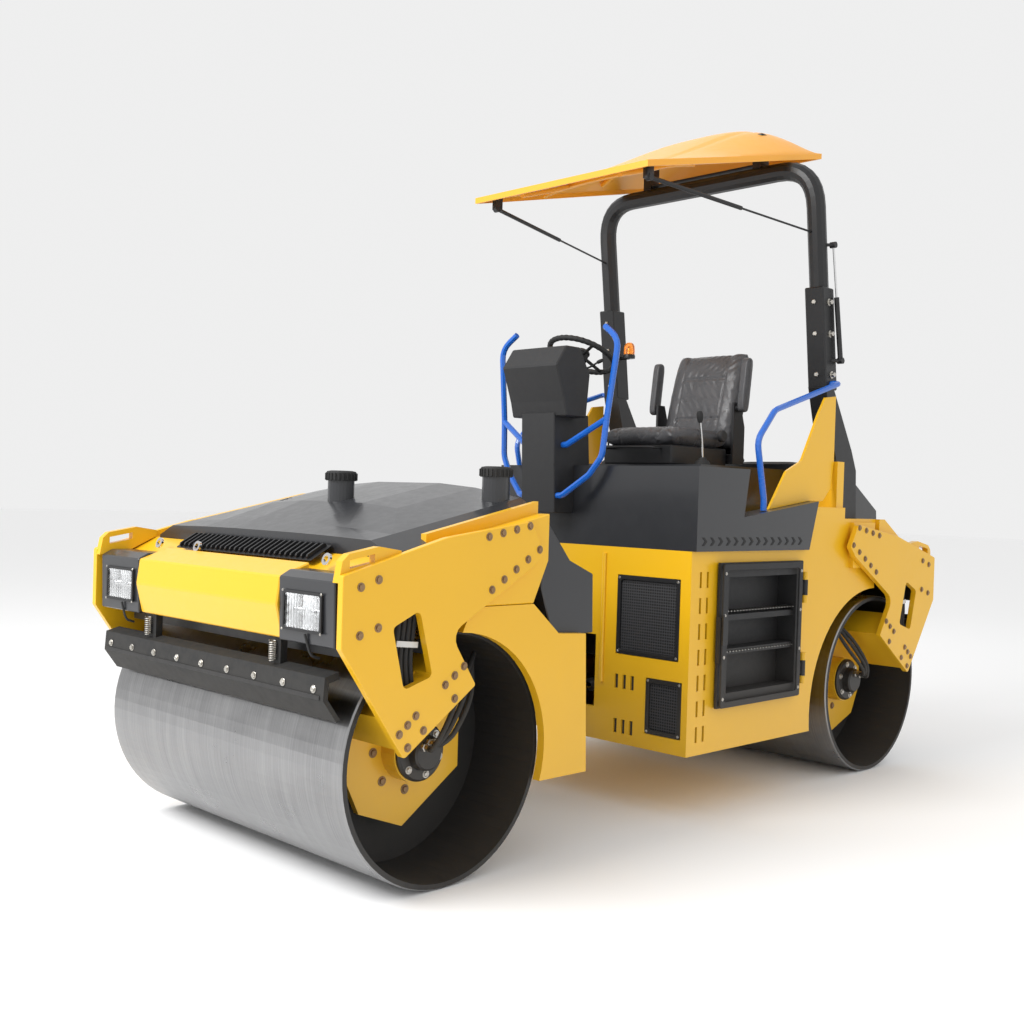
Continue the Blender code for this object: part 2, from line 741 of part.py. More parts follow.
def make_door(name, side):
    """The step door: a flanged tray with two rungs, hinged at its rear edge."""
    face = shell_half + door_stand_off
    inner, outer = sorted((side * face, side * (face + door_skin)))
    frame = box(name, (door_rear, inner, door_bottom), (door_front, outer, door_top), edge=0.004)
    tray_rear = door_rear + 0.050
    tray_front = door_front - 0.055
    tray_low = door_bottom + 0.055
    tray_high = door_top - 0.055
    deep = side * (face - door_depth)
    inner, outer = sorted((deep, side * (face + 0.010)))
    tray = box("tray", (tray_rear, inner, tray_low), (tray_front, outer, tray_high))
    wall = door_wall
    inner, outer = sorted((deep + side * wall, side * (face + 0.10)))
    room = box("room", (tray_rear + wall, inner, tray_low + wall),
               (tray_front - wall, outer, tray_high - wall))
    combine(frame, [tray])
    combine(frame, [room], "DIFFERENCE")
    rungs = []
    for share in (0.36, 0.64):
        z = tray_low + share * (tray_high - tray_low)
        inner, outer = sorted((deep + side * 0.005, side * (face + 0.005)))
        rungs.append(box("rung", (tray_rear + 0.005, inner, z - rung_half),
                         (tray_front - 0.005, outer, z + rung_half)))
    for z in (door_bottom + 0.14, door_top - 0.14):
        rungs.append(cylinder("knuckle", (hinge_x, side * hinge_y, z), hinge_radius, 0.080,
                              (0, 0, 1), 16))
        inner, outer = sorted((side * (face + 0.002), side * (face + door_skin - 0.002)))
        rungs.append(box("strap", (hinge_x, inner, z - 0.030), (door_rear + 0.02, outer, z + 0.030)))
    inner, outer = sorted((side * (face + 0.010), side * (face + door_skin + 0.015)))
    rungs.append(box("handle", (door_front - 0.020, inner, 0.740), (door_front + 0.012, outer, 0.960)))
    return combine(frame, rungs)


def make_platform(name):
    """The deck: edge band, floor, front and side rims, and the seat's pedestal."""
    half = body_half
    top = deck_z + 0.255
    shelf = deck_z + 0.225 + seat_gap
    outline = [
        (body_front, deck_z), (body_front, rim_top), (rim_rear, rim_top),
        (rim_rear + 0.040, floor_z + 0.010), (deck_edge(top), top), (deck_edge(deck_z), deck_z),
    ]
    deck = prism(name, outline, "y", -half, half)
    inner = body_front - rim_wall
    well = [(inner, floor_z), (inner, rim_top + 0.1), (-1.2, rim_top + 0.1), (-1.2, floor_z)]
    side_well = [(inner, floor_z), (inner, rim_top + 0.05), (rim_rear - 0.02, rim_top + 0.05),
                 (rim_rear + 0.037, floor_z)]
    combine(deck, [prism("well", well, "y", 0.120 - half, half - 0.120)], "DIFFERENCE")
    combine(deck, [prism("side well", side_well, "y", rim_wall - half, half - rim_wall)], "DIFFERENCE")
    pedestal = [
        (pedestal_front, floor_z - 0.05), (pedestal_front, pedestal_top),
        (pedestal_rear, pedestal_top), (pedestal_rear, shelf), (platform_rear - 0.015, shelf),
        (platform_rear - 0.015, floor_z - 0.05),
    ]
    combine(deck, [prism("pedestal", pedestal, "y", -pedestal_half, pedestal_half)])
    low = [
        (-low_rim_start - 0.05, deck_z + low_rim_height), (-low_rim_start, rim_top + 0.05),
        (-1.0, rim_top + 0.05), (-1.0, deck_z + low_rim_height),
    ]
    combine(deck, [prism("low rim", low, "x", rim_rear - 0.06, body_front + 0.1)], "DIFFERENCE")
    gap = box("console gap", (body_front - 0.05, -console_half - seat_gap, floor_z + 0.0001),
              (body_front + 0.05, console_half + seat_gap, rim_top + 0.05))
    return combine(deck, [gap], "DIFFERENCE")


def make_console(name):
    """The instrument column with its wedge head and the steering column."""
    half = console_half
    base = floor_z + seat_gap
    column = [(0.01, base), (console_front - 0.01, base), (console_front, rim_top),
              (console_front + 0.01, deck_z + 0.66), (0.05, deck_z + 0.66)]
    item = prism(name, column, "y", -half, half, edge=0.004)
    head = [
        (0.320, deck_z + 0.715), (0.385, deck_z + 0.890), (0.315, deck_z + 0.990),
        (0.210, deck_z + 0.990), (0.130, deck_z + 0.860), (0.150, deck_z + 0.640),
        (0.300, deck_z + 0.640),
    ]
    wedge = prism("head", head, "y", -head_half, head_half, edge=0.006)
    direction = Vector((math.sin(wheel_tilt), 0, -math.cos(wheel_tilt)))
    top = Vector(wheel_centre) + direction * (0.030 + pin_gap)
    foot = top + direction * 0.34
    length = (foot - top).length
    stalk = cylinder("stalk", (top + foot) / 2, 0.030, length, -direction, 24)
    return combine(item, [wedge, stalk])


wheel_centre = (-0.010, 0.0, deck_z + 0.985)


def make_steering_wheel(name):
    """Rim, three spokes and hub, tilted towards the seat."""
    major, minor = 40, 10
    shape = bmesh.new()
    rings = []
    for i in range(major):
        a = 2 * math.pi * i / major
        ring = []
        for j in range(minor):
            b = 2 * math.pi * j / minor
            reach = wheel_radius + wheel_tube * math.cos(b)
            point = (reach * math.cos(a), reach * math.sin(a), wheel_tube * math.sin(b))
            ring.append(shape.verts.new(point))
        rings.append(ring)
    for i in range(major):
        here, there = rings[i], rings[(i + 1) % major]
        for j in range(minor):
            k = (j + 1) % minor
            shape.faces.new((here[j], there[j], there[k], here[k]))
    wheel = from_bmesh(name, shape)
    pieces = [cylinder("hub", (0, 0, -0.005), 0.036, 0.050, (0, 0, 1), 24)]
    for i in range(3):
        a = math.pi + 2 * math.pi * i / 3
        start = Vector((0.02 * math.cos(a), 0.02 * math.sin(a), -0.004))
        stop = Vector((wheel_radius * math.cos(a), wheel_radius * math.sin(a), 0.0))
        pieces.append(tube("spoke", [start, stop], 0.009))
    combine(wheel, pieces)
    turn = Matrix.Translation(wheel_centre) @ Matrix.Rotation(-wheel_tilt, 4, "Y")
    wheel.data.transform(turn)
    return wheel


def lean(x, z, pivot_z):
    """A point of the backrest, tilted back about the seat's rear edge."""
    dx, dz = x - back_x, z - pivot_z
    return (back_x + dx * math.cos(back_lean) - dz * math.sin(back_lean),
            pivot_z + dx * math.sin(back_lean) + dz * math.cos(back_lean))


cushion_bottom = pedestal_top + seat_gap + seat_base_height + seat_gap
cushion_top = cushion_bottom + cushion_height
back_x = seat_x - seat_depth / 2 + 0.02
arm_pivot = (back_x - 0.045, cushion_top + 0.125)


def make_seat_base(name):
    """The suspension box with the back frame and the armrests' pivots."""
    low = pedestal_top + seat_gap
    half = seat_width / 2
    base = box(name, (seat_x - seat_depth / 2 + 0.01, seat_y - half + 0.02, low),
               (seat_x + seat_depth / 2 - 0.02, seat_y + half - 0.02, low + seat_base_height),
               edge=0.006)
    frame = [lean(back_x - back_thickness - seat_gap - 0.020, z, cushion_bottom)
             for z in (low + 0.06, cushion_top + 0.30)]
    frame += [lean(back_x - back_thickness - seat_gap, z, cushion_bottom)
              for z in (cushion_top + 0.30, low + 0.06)]
    back = prism("frame", frame, "y", seat_y - half + 0.04, seat_y + half - 0.04)
    shelf = box("shelf", (back_x - back_thickness - 0.04, seat_y - half + 0.04, low + 0.02),
                (seat_x, seat_y + half - 0.04, low + 0.075))
    pieces = [back, shelf]
    for side in (-1, 1):
        inner = seat_y + side * (half + 0.004)
        outer = seat_y + side * (half + 0.018)
        rear = arm_pivot[0]
        ear = [(rear - 0.075, low + 0.02), (rear + 0.03, low + 0.02), (rear + 0.03, arm_pivot[1] + 0.03),
               (rear - 0.03, arm_pivot[1] + 0.03), (rear - 0.075, arm_pivot[1] - 0.10)]
        pieces.append(prism("ear", ear, "y", inner, outer))
        pieces.append(box("bridge", (rear - 0.070, min(inner, seat_y), low + 0.025),
                          (rear + 0.02, max(inner, seat_y), low + 0.070)))
        pieces.append(cylinder("pivot", (rear, outer + side * 0.004, arm_pivot[1]), 0.022, 0.012,
                               (0, 1, 0), 20))
    return combine(base, pieces)


def make_cushion(name):
    half = seat_width / 2
    front = seat_x + seat_depth / 2
    item = box(name, (back_x + seat_gap, seat_y - half, cushion_bottom),
               (front, seat_y + half, cushion_top))
    return soften(item, 0.030)


def make_backrest(name):
    half = seat_width / 2
    corners = [(back_x - back_thickness, 0.0), (back_x, 0.0), (back_x, back_height),
               (back_x - back_thickness, back_height)]
    outline = [lean(x, cushion_bottom + 0.004 + z, cushion_bottom) for x, z in corners]
    outline[1] = (back_x, outline[1][1])
    item = prism(name, outline, "y", seat_y - half, seat_y + half)
    return soften(item, 0.032)


def soften(item, radius):
    modifier = item.modifiers.new("round", "BEVEL")
    modifier.width = radius
    modifier.segments = 3
    modifier.limit_method = "ANGLE"
    modifier.angle_limit = math.radians(30)
    return item


def make_armrest(name, side):
    """A padded arm, folded up beside the backrest."""
    half = seat_width / 2
    near = seat_y + side * (half + 0.028 + pin_gap)
    far = near + side * 0.050
    x, z = arm_pivot
    tilt = armrest_lean
    outline = []
    for along, across in ((-0.035, -armrest_half), (armrest_length, -armrest_half),
                          (armrest_length, armrest_half), (-0.035, armrest_half)):
        outline.append((x - along * math.sin(tilt) + across * math.cos(tilt),
                        z + along * math.cos(tilt) + across * math.sin(tilt)))
    item = prism(name, outline, "y", near, far, edge=0.012)
    return item


def make_rail(name, side):
    """An ear-shaped guard rail beside the console, with its lower brace."""
    x = console_front - 0.030
    wall = console_half + seat_gap
    corners = [
        (x, wall, floor_z + 0.088), (x, wall + 0.030, floor_z + 0.088),
        (x - 0.05, 0.280, floor_z + 0.196), (x - 0.07, 0.345, floor_z + 0.290),
        (x - 0.08, 0.360, floor_z + 0.480), (x - 0.095, 0.408, floor_z + 0.866),
        (x - 0.105, 0.309, floor_z + 0.938),
    ]
    brace = [(x - 0.03, wall, floor_z + 0.345), (x - 0.03, wall + 0.025, floor_z + 0.345),
             (x - 0.08, 0.358, floor_z + 0.475)]
    tidy = [Vector((a, side * b, c)) for a, b, c in corners]
    item = tube(name, bent_path(tidy, 0.10), rail_radius)
    low = [Vector((a, side * b, c)) for a, b, c in brace]
    arm = tube("brace", bent_path(low, 0.03), rail_radius)
    return combine(item, [arm])


def skirt_top(x):
    """Height of the platform's edge band beside the seat."""
    end = deck_edge(deck_z + 0.255)
    start = rim_rear + 0.040
    share = (start - x) / (start - end)
    return floor_z + 0.010 + share * (deck_z + 0.255 - floor_z - 0.010)


def make_side_rail(name, side):
    """The grab rail at the rear of the step, from the deck's edge to the hoop."""
    y = body_half - 0.050
    x = -0.47
    rail_end = shelf_rear + 0.065
    corners = [
        (x, y, skirt_top(x - rail_radius) + seat_gap), (x, y, floor_z + 0.10), (-0.395, y, floor_z + 0.396),
        (-0.545, y, floor_z + 0.556), (rail_end, y, floor_z + 0.745),
        (rail_end, hoop_half + sleeve_width / 2 + seat_gap, floor_z + 0.745),
    ]
    tidy = [Vector((a, side * b, c)) for a, b, c in corners]
    return tube(name, bent_path(tidy, 0.09), rail_radius)


def make_guard(name, side):
    """The curved side panel between the seat and the roll-over hoop's leg."""
    low = skirt_top
    lift = deck_z
    corners = [
        (-0.533, low(-0.533) + seat_gap, 0.0), (-0.687, lift + 0.406, 0.05), (-0.830, lift + 0.465, 0.06),
        (shelf_rear + 0.250, lift + 0.718, 0.10), (shelf_rear + 0.180, lift + 0.815, 0.0),
        (shelf_rear + 0.075, lift + 0.829, 0.0), (shelf_rear + 0.075, lift + 0.473, 0.0),
        (shelf_rear + 0.100, lift + 0.330, 0.0),
        (-1.050, deck_z + 0.2555 + seat_gap, 0.0), (-0.9145, deck_z + 0.2555 + seat_gap, 0.0),
    ]
    outline = rounded(corners)
    near = side * (body_half - 0.075)
    return prism(name, outline, "y", near, near + side * 0.015, edge=0.002)


def make_rear_hood(name):
    """The cover over the rear frame, sloping down behind the seat."""
    lift = deck_z
    base = lift + 0.165 + seat_gap
    front = shelf_rear - 0.002
    outline = [
        (front, lift + 0.225 + seat_gap), (front, lift + 0.470), (front - 0.298, lift + 0.470),
        (front - 0.418, lift + 0.410), (-axle_half - 0.350, lift + 0.215),
        (-axle_half - 0.375, drum_radius + 0.733), (-hood_front, drum_radius + 0.7685),
        (shelf_rear - 0.40, base), (front, base),
    ]
    half = hoop_half - hood_gap
    return prism(name, outline, "y", -half, half, edge=0.006)


def hoop_point(height, y):
    """A point in the hoop's leaning plane, at a height above the sleeve's base."""
    base = deck_z + sleeve_rise
    along = height - base
    return Vector((hoop_foot_x + 0.005 + along * math.tan(hoop_lean), y, height))


def make_hoop(name):
    """The roll-over hoop: bent tube, two sleeves and two channel feet."""
    top = deck_z + hoop_height
    sleeve_low = deck_z + sleeve_rise
    start = sleeve_low + sleeve_height - 0.10
    half = sleeve_width / 2
    corners = [hoop_point(start, hoop_half), hoop_point(top, hoop_half),
               hoop_point(top, -hoop_half), hoop_point(start, -hoop_half)]
    hoop = tube(name, bent_path(corners, hoop_bend, 8), hoop_radius, 4)
    pieces = []
    for side in (-1, 1):
        inner, outer = side * (hoop_half - half), side * (hoop_half + half)
        sleeve = []
        for height, reach in ((0.0, -half), (sleeve_height, -half), (sleeve_height, half), (0.0, half)):
            spot = hoop_point(sleeve_low + height, 0.0)
            sleeve.append((spot.x + reach, spot.z))
        pieces.append(prism("sleeve", sleeve, "y", inner, outer, edge=0.006))
        base = deck_z + 0.165 + seat_gap
        foot = [
            (shelf_rear - 0.025, base), (shelf_rear - 0.025, deck_z + 0.490),
            (shelf_rear + 0.022, deck_z + 0.600), (shelf_rear + 0.110, sleeve_low + 0.015),
            (shelf_rear + 0.030, sleeve_low + 0.015), (shelf_rear - 0.190, deck_z + 0.545),
            (shelf_rear - 0.245, deck_z + 0.435), (shelf_rear - 0.260, base),
        ]
        pieces.append(prism("foot", foot, "y", side * (hoop_half - 0.055), side * (hoop_half + 0.055)))
    return combine(hoop, pieces)


def canopy_edge(x):
    """Height of the canopy's lower edge."""
    return deck_z + canopy_front_height + canopy_rise * (canopy_front - x)


def canopy_top(x, y):
    """Height of the canopy's crowned upper skin."""
    along = (canopy_front - x) / (canopy_front - canopy_rear)
    rise = math.sin(math.pi * along ** 2.9) ** 0.55 if 0 < along < 0.9999 else 0.0
    across = max(0.0, 1 - abs(y / canopy_half) ** 3.2)
    return canopy_edge(x) + canopy_lip + canopy_crown * rise * across


def make_canopy(name):
    """A crowned roof, open below, with bracket plates over the hoop and lugs for the stays."""
    columns, rows = 18, 12
    lip = 0.020
    length = canopy_front - canopy_rear

    def spread(count, total):
        inner = [lip + (total - 2 * lip) * i / (count - 2) for i in range(count - 1)]
        return [0.0] + inner + [total]

    xs = [canopy_front - a for a in spread(columns, length)]
    ys = [a - canopy_half for a in spread(rows, 2 * canopy_half)]
    shape = bmesh.new()
    outer, inner = [], []
    for i, x in enumerate(xs):
        top_row, low_row = [], []
        for j, y in enumerate(ys):
            rim = i in (0, 1, len(xs) - 2, len(xs) - 1) or j in (0, 1, len(ys) - 2, len(ys) - 1)
            top = canopy_top(x, y)
            low = canopy_edge(x) if rim else top - canopy_skin
            top_row.append(shape.verts.new((x, y, top)))
            low_row.append(shape.verts.new((x, y, low)))
        outer.append(top_row)
        inner.append(low_row)
    for i in range(len(xs) - 1):
        for j in range(len(ys) - 1):
            shape.faces.new((outer[i][j], outer[i][j + 1], outer[i + 1][j + 1], outer[i + 1][j]))
            shape.faces.new((inner[i][j], inner[i + 1][j], inner[i + 1][j + 1], inner[i][j + 1]))
    for j in range(len(ys) - 1):
        for i in (0, len(xs) - 1):
            shape.faces.new((outer[i][j], inner[i][j], inner[i][j + 1], outer[i][j + 1]))
    for i in range(len(xs) - 1):
        for j in (0, len(ys) - 1):
            shape.faces.new((outer[i][j], outer[i + 1][j], inner[i + 1][j], inner[i][j]))
    roof = from_bmesh(name, shape)
    bar = hoop_point(deck_z + hoop_height, 0.0)
    reach = (hoop_radius + seat_gap) / math.cos(math.radians(5))
    plates = []
    for side in (-1, 1):
        y = side * bracket_y
        saddle = [(bar.x + reach * math.cos(math.radians(a)), bar.z + reach * math.sin(math.radians(a)))
                  for a in range(0, 181, 10)]
        crest = [(x, canopy_top(x, y) - canopy_skin / 2)
                 for x in (bar.x - 0.10, bar.x - 0.03, bar.x + 0.04, bar.x + 0.11)]
        plates.append(prism("plate", saddle + crest, "y", y - 0.006, y + 0.006))
        lug = [(stay_x - 0.03, stay_z - 0.025), (stay_x + 0.03, stay_z - 0.025)]
        lug += [(x, canopy_top(x, stay_y) - canopy_skin / 2) for x in (stay_x + 0.03, stay_x - 0.03)]
        plates.append(prism("lug", lug, "y", side * (stay_y - 0.010), side * stay_y))
    return combine(roof, plates)


bracket_y = 0.34
stay_x = canopy_front - 0.10
stay_y = canopy_half - 0.085
stay_z = canopy_edge(stay_x) - 0.045


def make_stay(name, side):
    """A stay from the canopy's front to the hoop's leg: eye, thick barrel and thin rod."""
    start = Vector((stay_x, side * (stay_y + seat_gap + 0.015), stay_z))
    stop = hoop_point(deck_z + hoop_height - 0.36, side * hoop_half)
    eye = cylinder(name, start, 0.018, 0.030, (0, 1, 0), 20)
    aim = stop - start
    barrel = cylinder("barrel", start.lerp(stop, 0.26), 0.011, aim.length * 0.52, aim, 16)
    rod = cylinder("rod", start.lerp(stop, 0.75), 0.0055, aim.length * 0.5, aim, 12)
    combine(barrel, [rod])
    combine(eye, [barrel])
    low = hoop_point(stop.z - 0.2, side * hoop_half)
    high = hoop_point(stop.z + 0.2, side * hoop_half)
    leg = cylinder("leg", stop, (hoop_radius + seat_gap) / math.cos(math.pi / 48), 0.4, high - low, 48)
    return combine(eye, [leg], "DIFFERENCE")


def make_barrel(name):
    """The steering cylinder's barrel, bored for its rod, on its eye."""
    low = cylinder_z - barrel_radius
    start = Vector((cylinder_x, cylinder_y, cylinder_z))
    stop = Vector((pin_x, steer_arm, cylinder_z))
    aim = (stop - start).normalized()
    eye = cylinder(name, start, eye_radius, 2 * barrel_radius, (0, 0, 1), 24)
    body_mid = start + aim * (barrel_length / 2 + 0.01)
    body = cylinder("body", body_mid, barrel_radius * 0.98, barrel_length - 0.02, aim, 24)
    bore = cylinder("bore", start + aim * (barrel_length / 2 + 0.075), rod_bore,
                    barrel_length - 0.06, aim, 24)
    combine(eye, [body])
    return combine(eye, [bore], "DIFFERENCE")


def make_rod(name):
    """The steering cylinder's rod, with its eye on the steering arm."""
    start = Vector((cylinder_x, cylinder_y, cylinder_z))
    stop = Vector((pin_x, steer_arm, cylinder_z))
    aim = (stop - start).normalized()
    inner = start + aim * (barrel_length - rod_overlap)
    rod = cylinder(name, (inner + stop) / 2, rod_radius, (stop - inner).length, aim, 24)
    eye = cylinder("eye", stop, eye_radius * 0.95, 2 * barrel_radius, (0, 0, 1), 24)
    return combine(rod, [eye])


# ---- assembly ---------------------------------------------------------------------------
def build():
    clear_scene()
    yellow = make_material("frame yellow", frame_yellow, 0.38, 0.0)
    grey = make_material("panel grey", panel_grey, 0.40, 0.0)
    black = make_material("black paint", (0.015, 0.015, 0.016), 0.45, 0.0)
    steel = make_material("drum steel", (0.50, 0.50, 0.50), 0.32, 1.0)
    rubber = make_material("black trim", (0.02, 0.02, 0.02), 0.7, 0.0)
    blue = make_material("rail blue", (0.01, 0.13, 0.55), 0.35, 0.0)
    vinyl = make_material("seat vinyl", (0.05, 0.05, 0.055), 0.5, 0.0)
    chrome = make_material("rod chrome", (0.6, 0.6, 0.6), 0.15, 1.0)

    steering = make_axis("steering axis", (pin_x, 0, link_z))
    rocking = make_axis("oscillation axis", (pin_x, 0, link_z), steering)
    front_axle = make_axis("front drum axis", (axle_half, 0, drum_radius), rocking)
    rear_axle = make_axis("rear drum axis", (-axle_half, 0, drum_radius))
    wheel_axis = make_axis("wheel axis", wheel_centre)
    cylinder_axis = make_axis("cylinder axis", (cylinder_x, cylinder_y, cylinder_z))

    finish(make_drum("front_drum", 1), steel, front_axle)
    finish(make_drum("rear_drum", -1), steel, rear_axle)
    for facing, end, carrier in ((1, "front", rocking), (-1, "rear", None)):
        for side, hand in ((1, "left"), (-1, "right")):
            finish(make_yoke(f"{end}_yoke_{hand}", facing, side), yellow, carrier)
            finish(make_light(f"{end}_light_{hand}", facing, side), grey, carrier)
        finish(make_bumper(f"{end}_bumper", facing), yellow, carrier)
        finish(make_scraper(f"{end}_scraper", facing), rubber, carrier)

    finish(make_tank("front_frame_tank"), yellow, rocking)
    finish(make_hood("front_hood"), grey, rocking)
    finish(make_neck("front_neck"), grey, rocking)
    finish(make_link("centre_link"), black, steering)
    finish(make_rod("steering_rod"), chrome, cylinder_axis)
    finish(make_barrel("steering_barrel"), black)

    finish(make_body("rear_body"), yellow)
    finish(box("engine", (engine_rear, -0.32, engine_bottom), (-0.24, 0.32, deck_z - 0.075)), black)
    finish(make_clevis("rear_clevis"), black)
    finish(make_platform("platform"), grey)
    finish(make_rear_hood("rear_hood"), grey)
    finish(make_console("console"), grey)
    finish(make_steering_wheel("steering_wheel"), black, wheel_axis)
    finish(make_seat_base("seat_base"), black)
    finish(make_cushion("seat_cushion"), vinyl)
    finish(make_backrest("seat_backrest"), vinyl)
    finish(make_hoop("rollover_hoop"), black)
    finish(make_canopy("canopy"), yellow)

    for side, hand in ((1, "left"), (-1, "right")):
        finish(make_fender(f"front_fender_{hand}", side), yellow, rocking)
        door_axis = make_axis(f"{hand} door axis", (hinge_x, side * hinge_y, door_bottom))
        finish(make_door(f"step_door_{hand}", side), black, door_axis)
        half = seat_width / 2
        rest_axis = make_axis(f"{hand} armrest axis",
                              (arm_pivot[0], seat_y + side * half, arm_pivot[1]))
        finish(make_armrest(f"armrest_{hand}", side), vinyl, rest_axis)
        finish(make_rail(f"console_rail_{hand}", side), blue)
        finish(make_side_rail(f"grab_rail_{hand}", side), blue)
        finish(make_guard(f"side_guard_{hand}", side), yellow)
        finish(make_stay(f"canopy_stay_{hand}", side), black)


build()
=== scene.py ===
import json
import math

import bmesh
import bpy
import numpy as np
from mathutils import Matrix, Vector


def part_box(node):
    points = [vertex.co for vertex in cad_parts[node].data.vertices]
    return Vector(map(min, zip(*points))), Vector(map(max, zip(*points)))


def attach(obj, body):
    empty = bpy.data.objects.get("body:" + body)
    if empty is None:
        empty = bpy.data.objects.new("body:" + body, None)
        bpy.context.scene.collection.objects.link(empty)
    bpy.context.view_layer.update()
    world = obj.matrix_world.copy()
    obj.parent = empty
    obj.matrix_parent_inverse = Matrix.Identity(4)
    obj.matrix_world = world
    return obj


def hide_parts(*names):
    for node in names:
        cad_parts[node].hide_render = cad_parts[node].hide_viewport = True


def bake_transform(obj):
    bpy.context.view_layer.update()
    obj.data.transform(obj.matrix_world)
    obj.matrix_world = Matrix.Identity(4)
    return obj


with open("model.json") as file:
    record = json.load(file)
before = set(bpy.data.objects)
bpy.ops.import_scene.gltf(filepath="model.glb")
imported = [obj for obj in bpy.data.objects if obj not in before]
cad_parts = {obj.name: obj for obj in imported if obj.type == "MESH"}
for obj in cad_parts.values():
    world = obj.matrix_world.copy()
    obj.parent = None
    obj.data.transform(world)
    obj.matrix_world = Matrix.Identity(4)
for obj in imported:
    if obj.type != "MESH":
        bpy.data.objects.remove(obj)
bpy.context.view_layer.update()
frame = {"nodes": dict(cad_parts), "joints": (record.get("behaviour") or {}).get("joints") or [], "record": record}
nodes = frame["nodes"]
jointAt = {j["name"]: np.array(j.get("pos_m", (0, 0, 0)), float) for j in frame["joints"]}
axle = jointAt["front_drum_spin"][0]
drumRadius = jointAt["front_drum_spin"][2]
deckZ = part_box("platform")[0].z
floorZ = deckZ + 0.155
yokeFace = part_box("front_yoke_left")[1].y
bodySide = 0.875
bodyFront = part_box("rear_clevis")[0].x
print("frame loaded:", len(nodes), "nodes")


# surfaces worked out as arrays: a part is (points, faces)

def unit(v):
    # each vector over its own length
    return v / np.maximum(np.linalg.norm(v, axis=-1, keepdims=True), 1e-12)


def gridPart(points, closeU=False, closeV=False):
    # a grid of points (u, v, xyz) joined by one quad per cell
    rows, cols = points.shape[:2]
    a, b = np.meshgrid(np.arange(rows if closeU else rows - 1),
                       np.arange(cols if closeV else cols - 1), indexing="ij")
    a2, b2 = (a + 1) % rows, (b + 1) % cols
    faces = np.stack([a * cols + b, a2 * cols + b, a2 * cols + b2, a * cols + b2], -1)
    return points.reshape(-1, 3), faces.reshape(-1, 4).tolist()


def capEnds(grid):
    # a ring shrunk to its middle at both ends of a grid, which closes the surface
    first, last = (np.repeat(ring.mean(1, keepdims=True), grid.shape[1], 1) for ring in (grid[:1], grid[-1:]))
    return np.concatenate([first, grid, last])


def turnAngles(count):
    # equal steps round a whole turn
    return np.linspace(0, 2 * np.pi, count, endpoint=False)


def sweepPart(path, profile, up=(0, 0, 1)):
    # a closed profile (a, b) carried along a path: point = path + a * side + b * normal
    path, profile = np.asarray(path, float), np.asarray(profile, float)
    tangent = unit(np.gradient(path, axis=0))
    side = unit(np.cross(tangent, np.asarray(up, float)))
    normal = np.cross(side, tangent)
    grid = path[:, None] + profile[None, :, :1] * side[:, None] + profile[None, :, 1:] * normal[:, None]
    return gridPart(capEnds(grid), closeV=True)


def tubePart(path, radius, sides=12, up=(0, 0, 1)):
    # a round bar along a path: the profile is radius (cos a, sin a)
    a = turnAngles(sides)
    return sweepPart(path, np.stack([radius * np.cos(a), radius * np.sin(a)], -1), up)


def turnPart(profile, centre, axis=(0, 0, 1), sides=32):
    # a profile (radius, height) turned about an axis: point = centre + r cos t u + r sin t v + h axis
    axis = unit(np.asarray(axis, float))
    helper = np.array([0, 0, 1.0]) if abs(axis[2]) < 0.9 else np.array([1.0, 0, 0])
    u = unit(np.cross(helper, axis))
    t = turnAngles(sides)[:, None]
    profile = np.asarray(profile, float)
    ring = np.cos(t) * u + np.sin(t) * np.cross(axis, u)
    grid = np.asarray(centre, float) + profile[None, :, :1] * ring[:, None] + profile[None, :, 1:] * axis
    return gridPart(grid, closeU=True)


def platePart(outline, origin, u, v, depth):
    # a flat outline (a, b) at origin + a u + b v, pushed along u x v by depth
    outline = np.asarray(outline, float)
    u, v = unit(np.asarray(u, float)), unit(np.asarray(v, float))
    base = np.asarray(origin, float) + outline[:, :1] * u + outline[:, 1:] * v
    points = np.concatenate([base, base + np.cross(u, v) * depth])
    n = len(outline)
    i = np.arange(n)
    j = (i + 1) % n
    faces = np.stack([i, j, j + n, i + n], -1).tolist()
    return points, faces + [list(range(n))[::-1], list(range(n, 2 * n))]


def roundedRect(width, height, radius, steps=5):
    # a rectangle with arcs at its corners: four quarter circles moved outwards
    a = np.linspace(0, np.pi / 2, steps)
    arcs = []
    for k, (sx, sy) in enumerate(((1, 1), (-1, 1), (-1, -1), (1, -1))):
        t = a + k * np.pi / 2
        arcs.append(np.stack([sx * (width / 2 - radius) + radius * np.cos(t),
                              sy * (height / 2 - radius) + radius * np.sin(t)], -1))
    return np.concatenate(arcs)


def blockPart(low, high, radius=0.004):
    # a block from one corner to the other with its upright edges rounded
    low, high = np.asarray(low, float), np.asarray(high, float)
    size = high - low
    radius = min(radius, size[0] * 0.45, size[1] * 0.45)
    outline = roundedRect(size[0], size[1], radius, 3)
    middle = (low + high) / 2
    return platePart(outline, (middle[0], middle[1], low[2]), (1, 0, 0), (0, 1, 0), size[2])


def copyPart(part, places, normals, spins, scale=1.0):
    # one small part set at many places, its own Z turned to each normal
    points, faces = part
    places, normals = (np.atleast_2d(np.asarray(a, float)) for a in (places, normals))
    n, m = len(places), len(points)
    normals = np.broadcast_to(unit(normals), (n, 3))
    helper = np.where(np.abs(normals[:, 2:]) < 0.9, [[0, 0, 1.0]], [[1.0, 0, 0]])
    u = unit(np.cross(helper, normals))
    v = np.cross(normals, u)
    c, s = np.cos(spins)[:, None], np.sin(spins)[:, None]
    basis = np.stack([c * u + s * v, c * v - s * u, normals], 1) * scale
    moved = np.einsum("pk,nkx->npx", points, basis) + places[:, None]
    return moved.reshape(-1, 3), [[i + k * m for i in f] for k in range(n) for f in faces]


def joinParts(parts):
    # many parts as one
    points, faces, start = [], [], 0
    for p, f in parts:
        points.append(p)
        faces += [[i + start for i in face] for face in f]
        start += len(p)
    return np.concatenate(points), faces


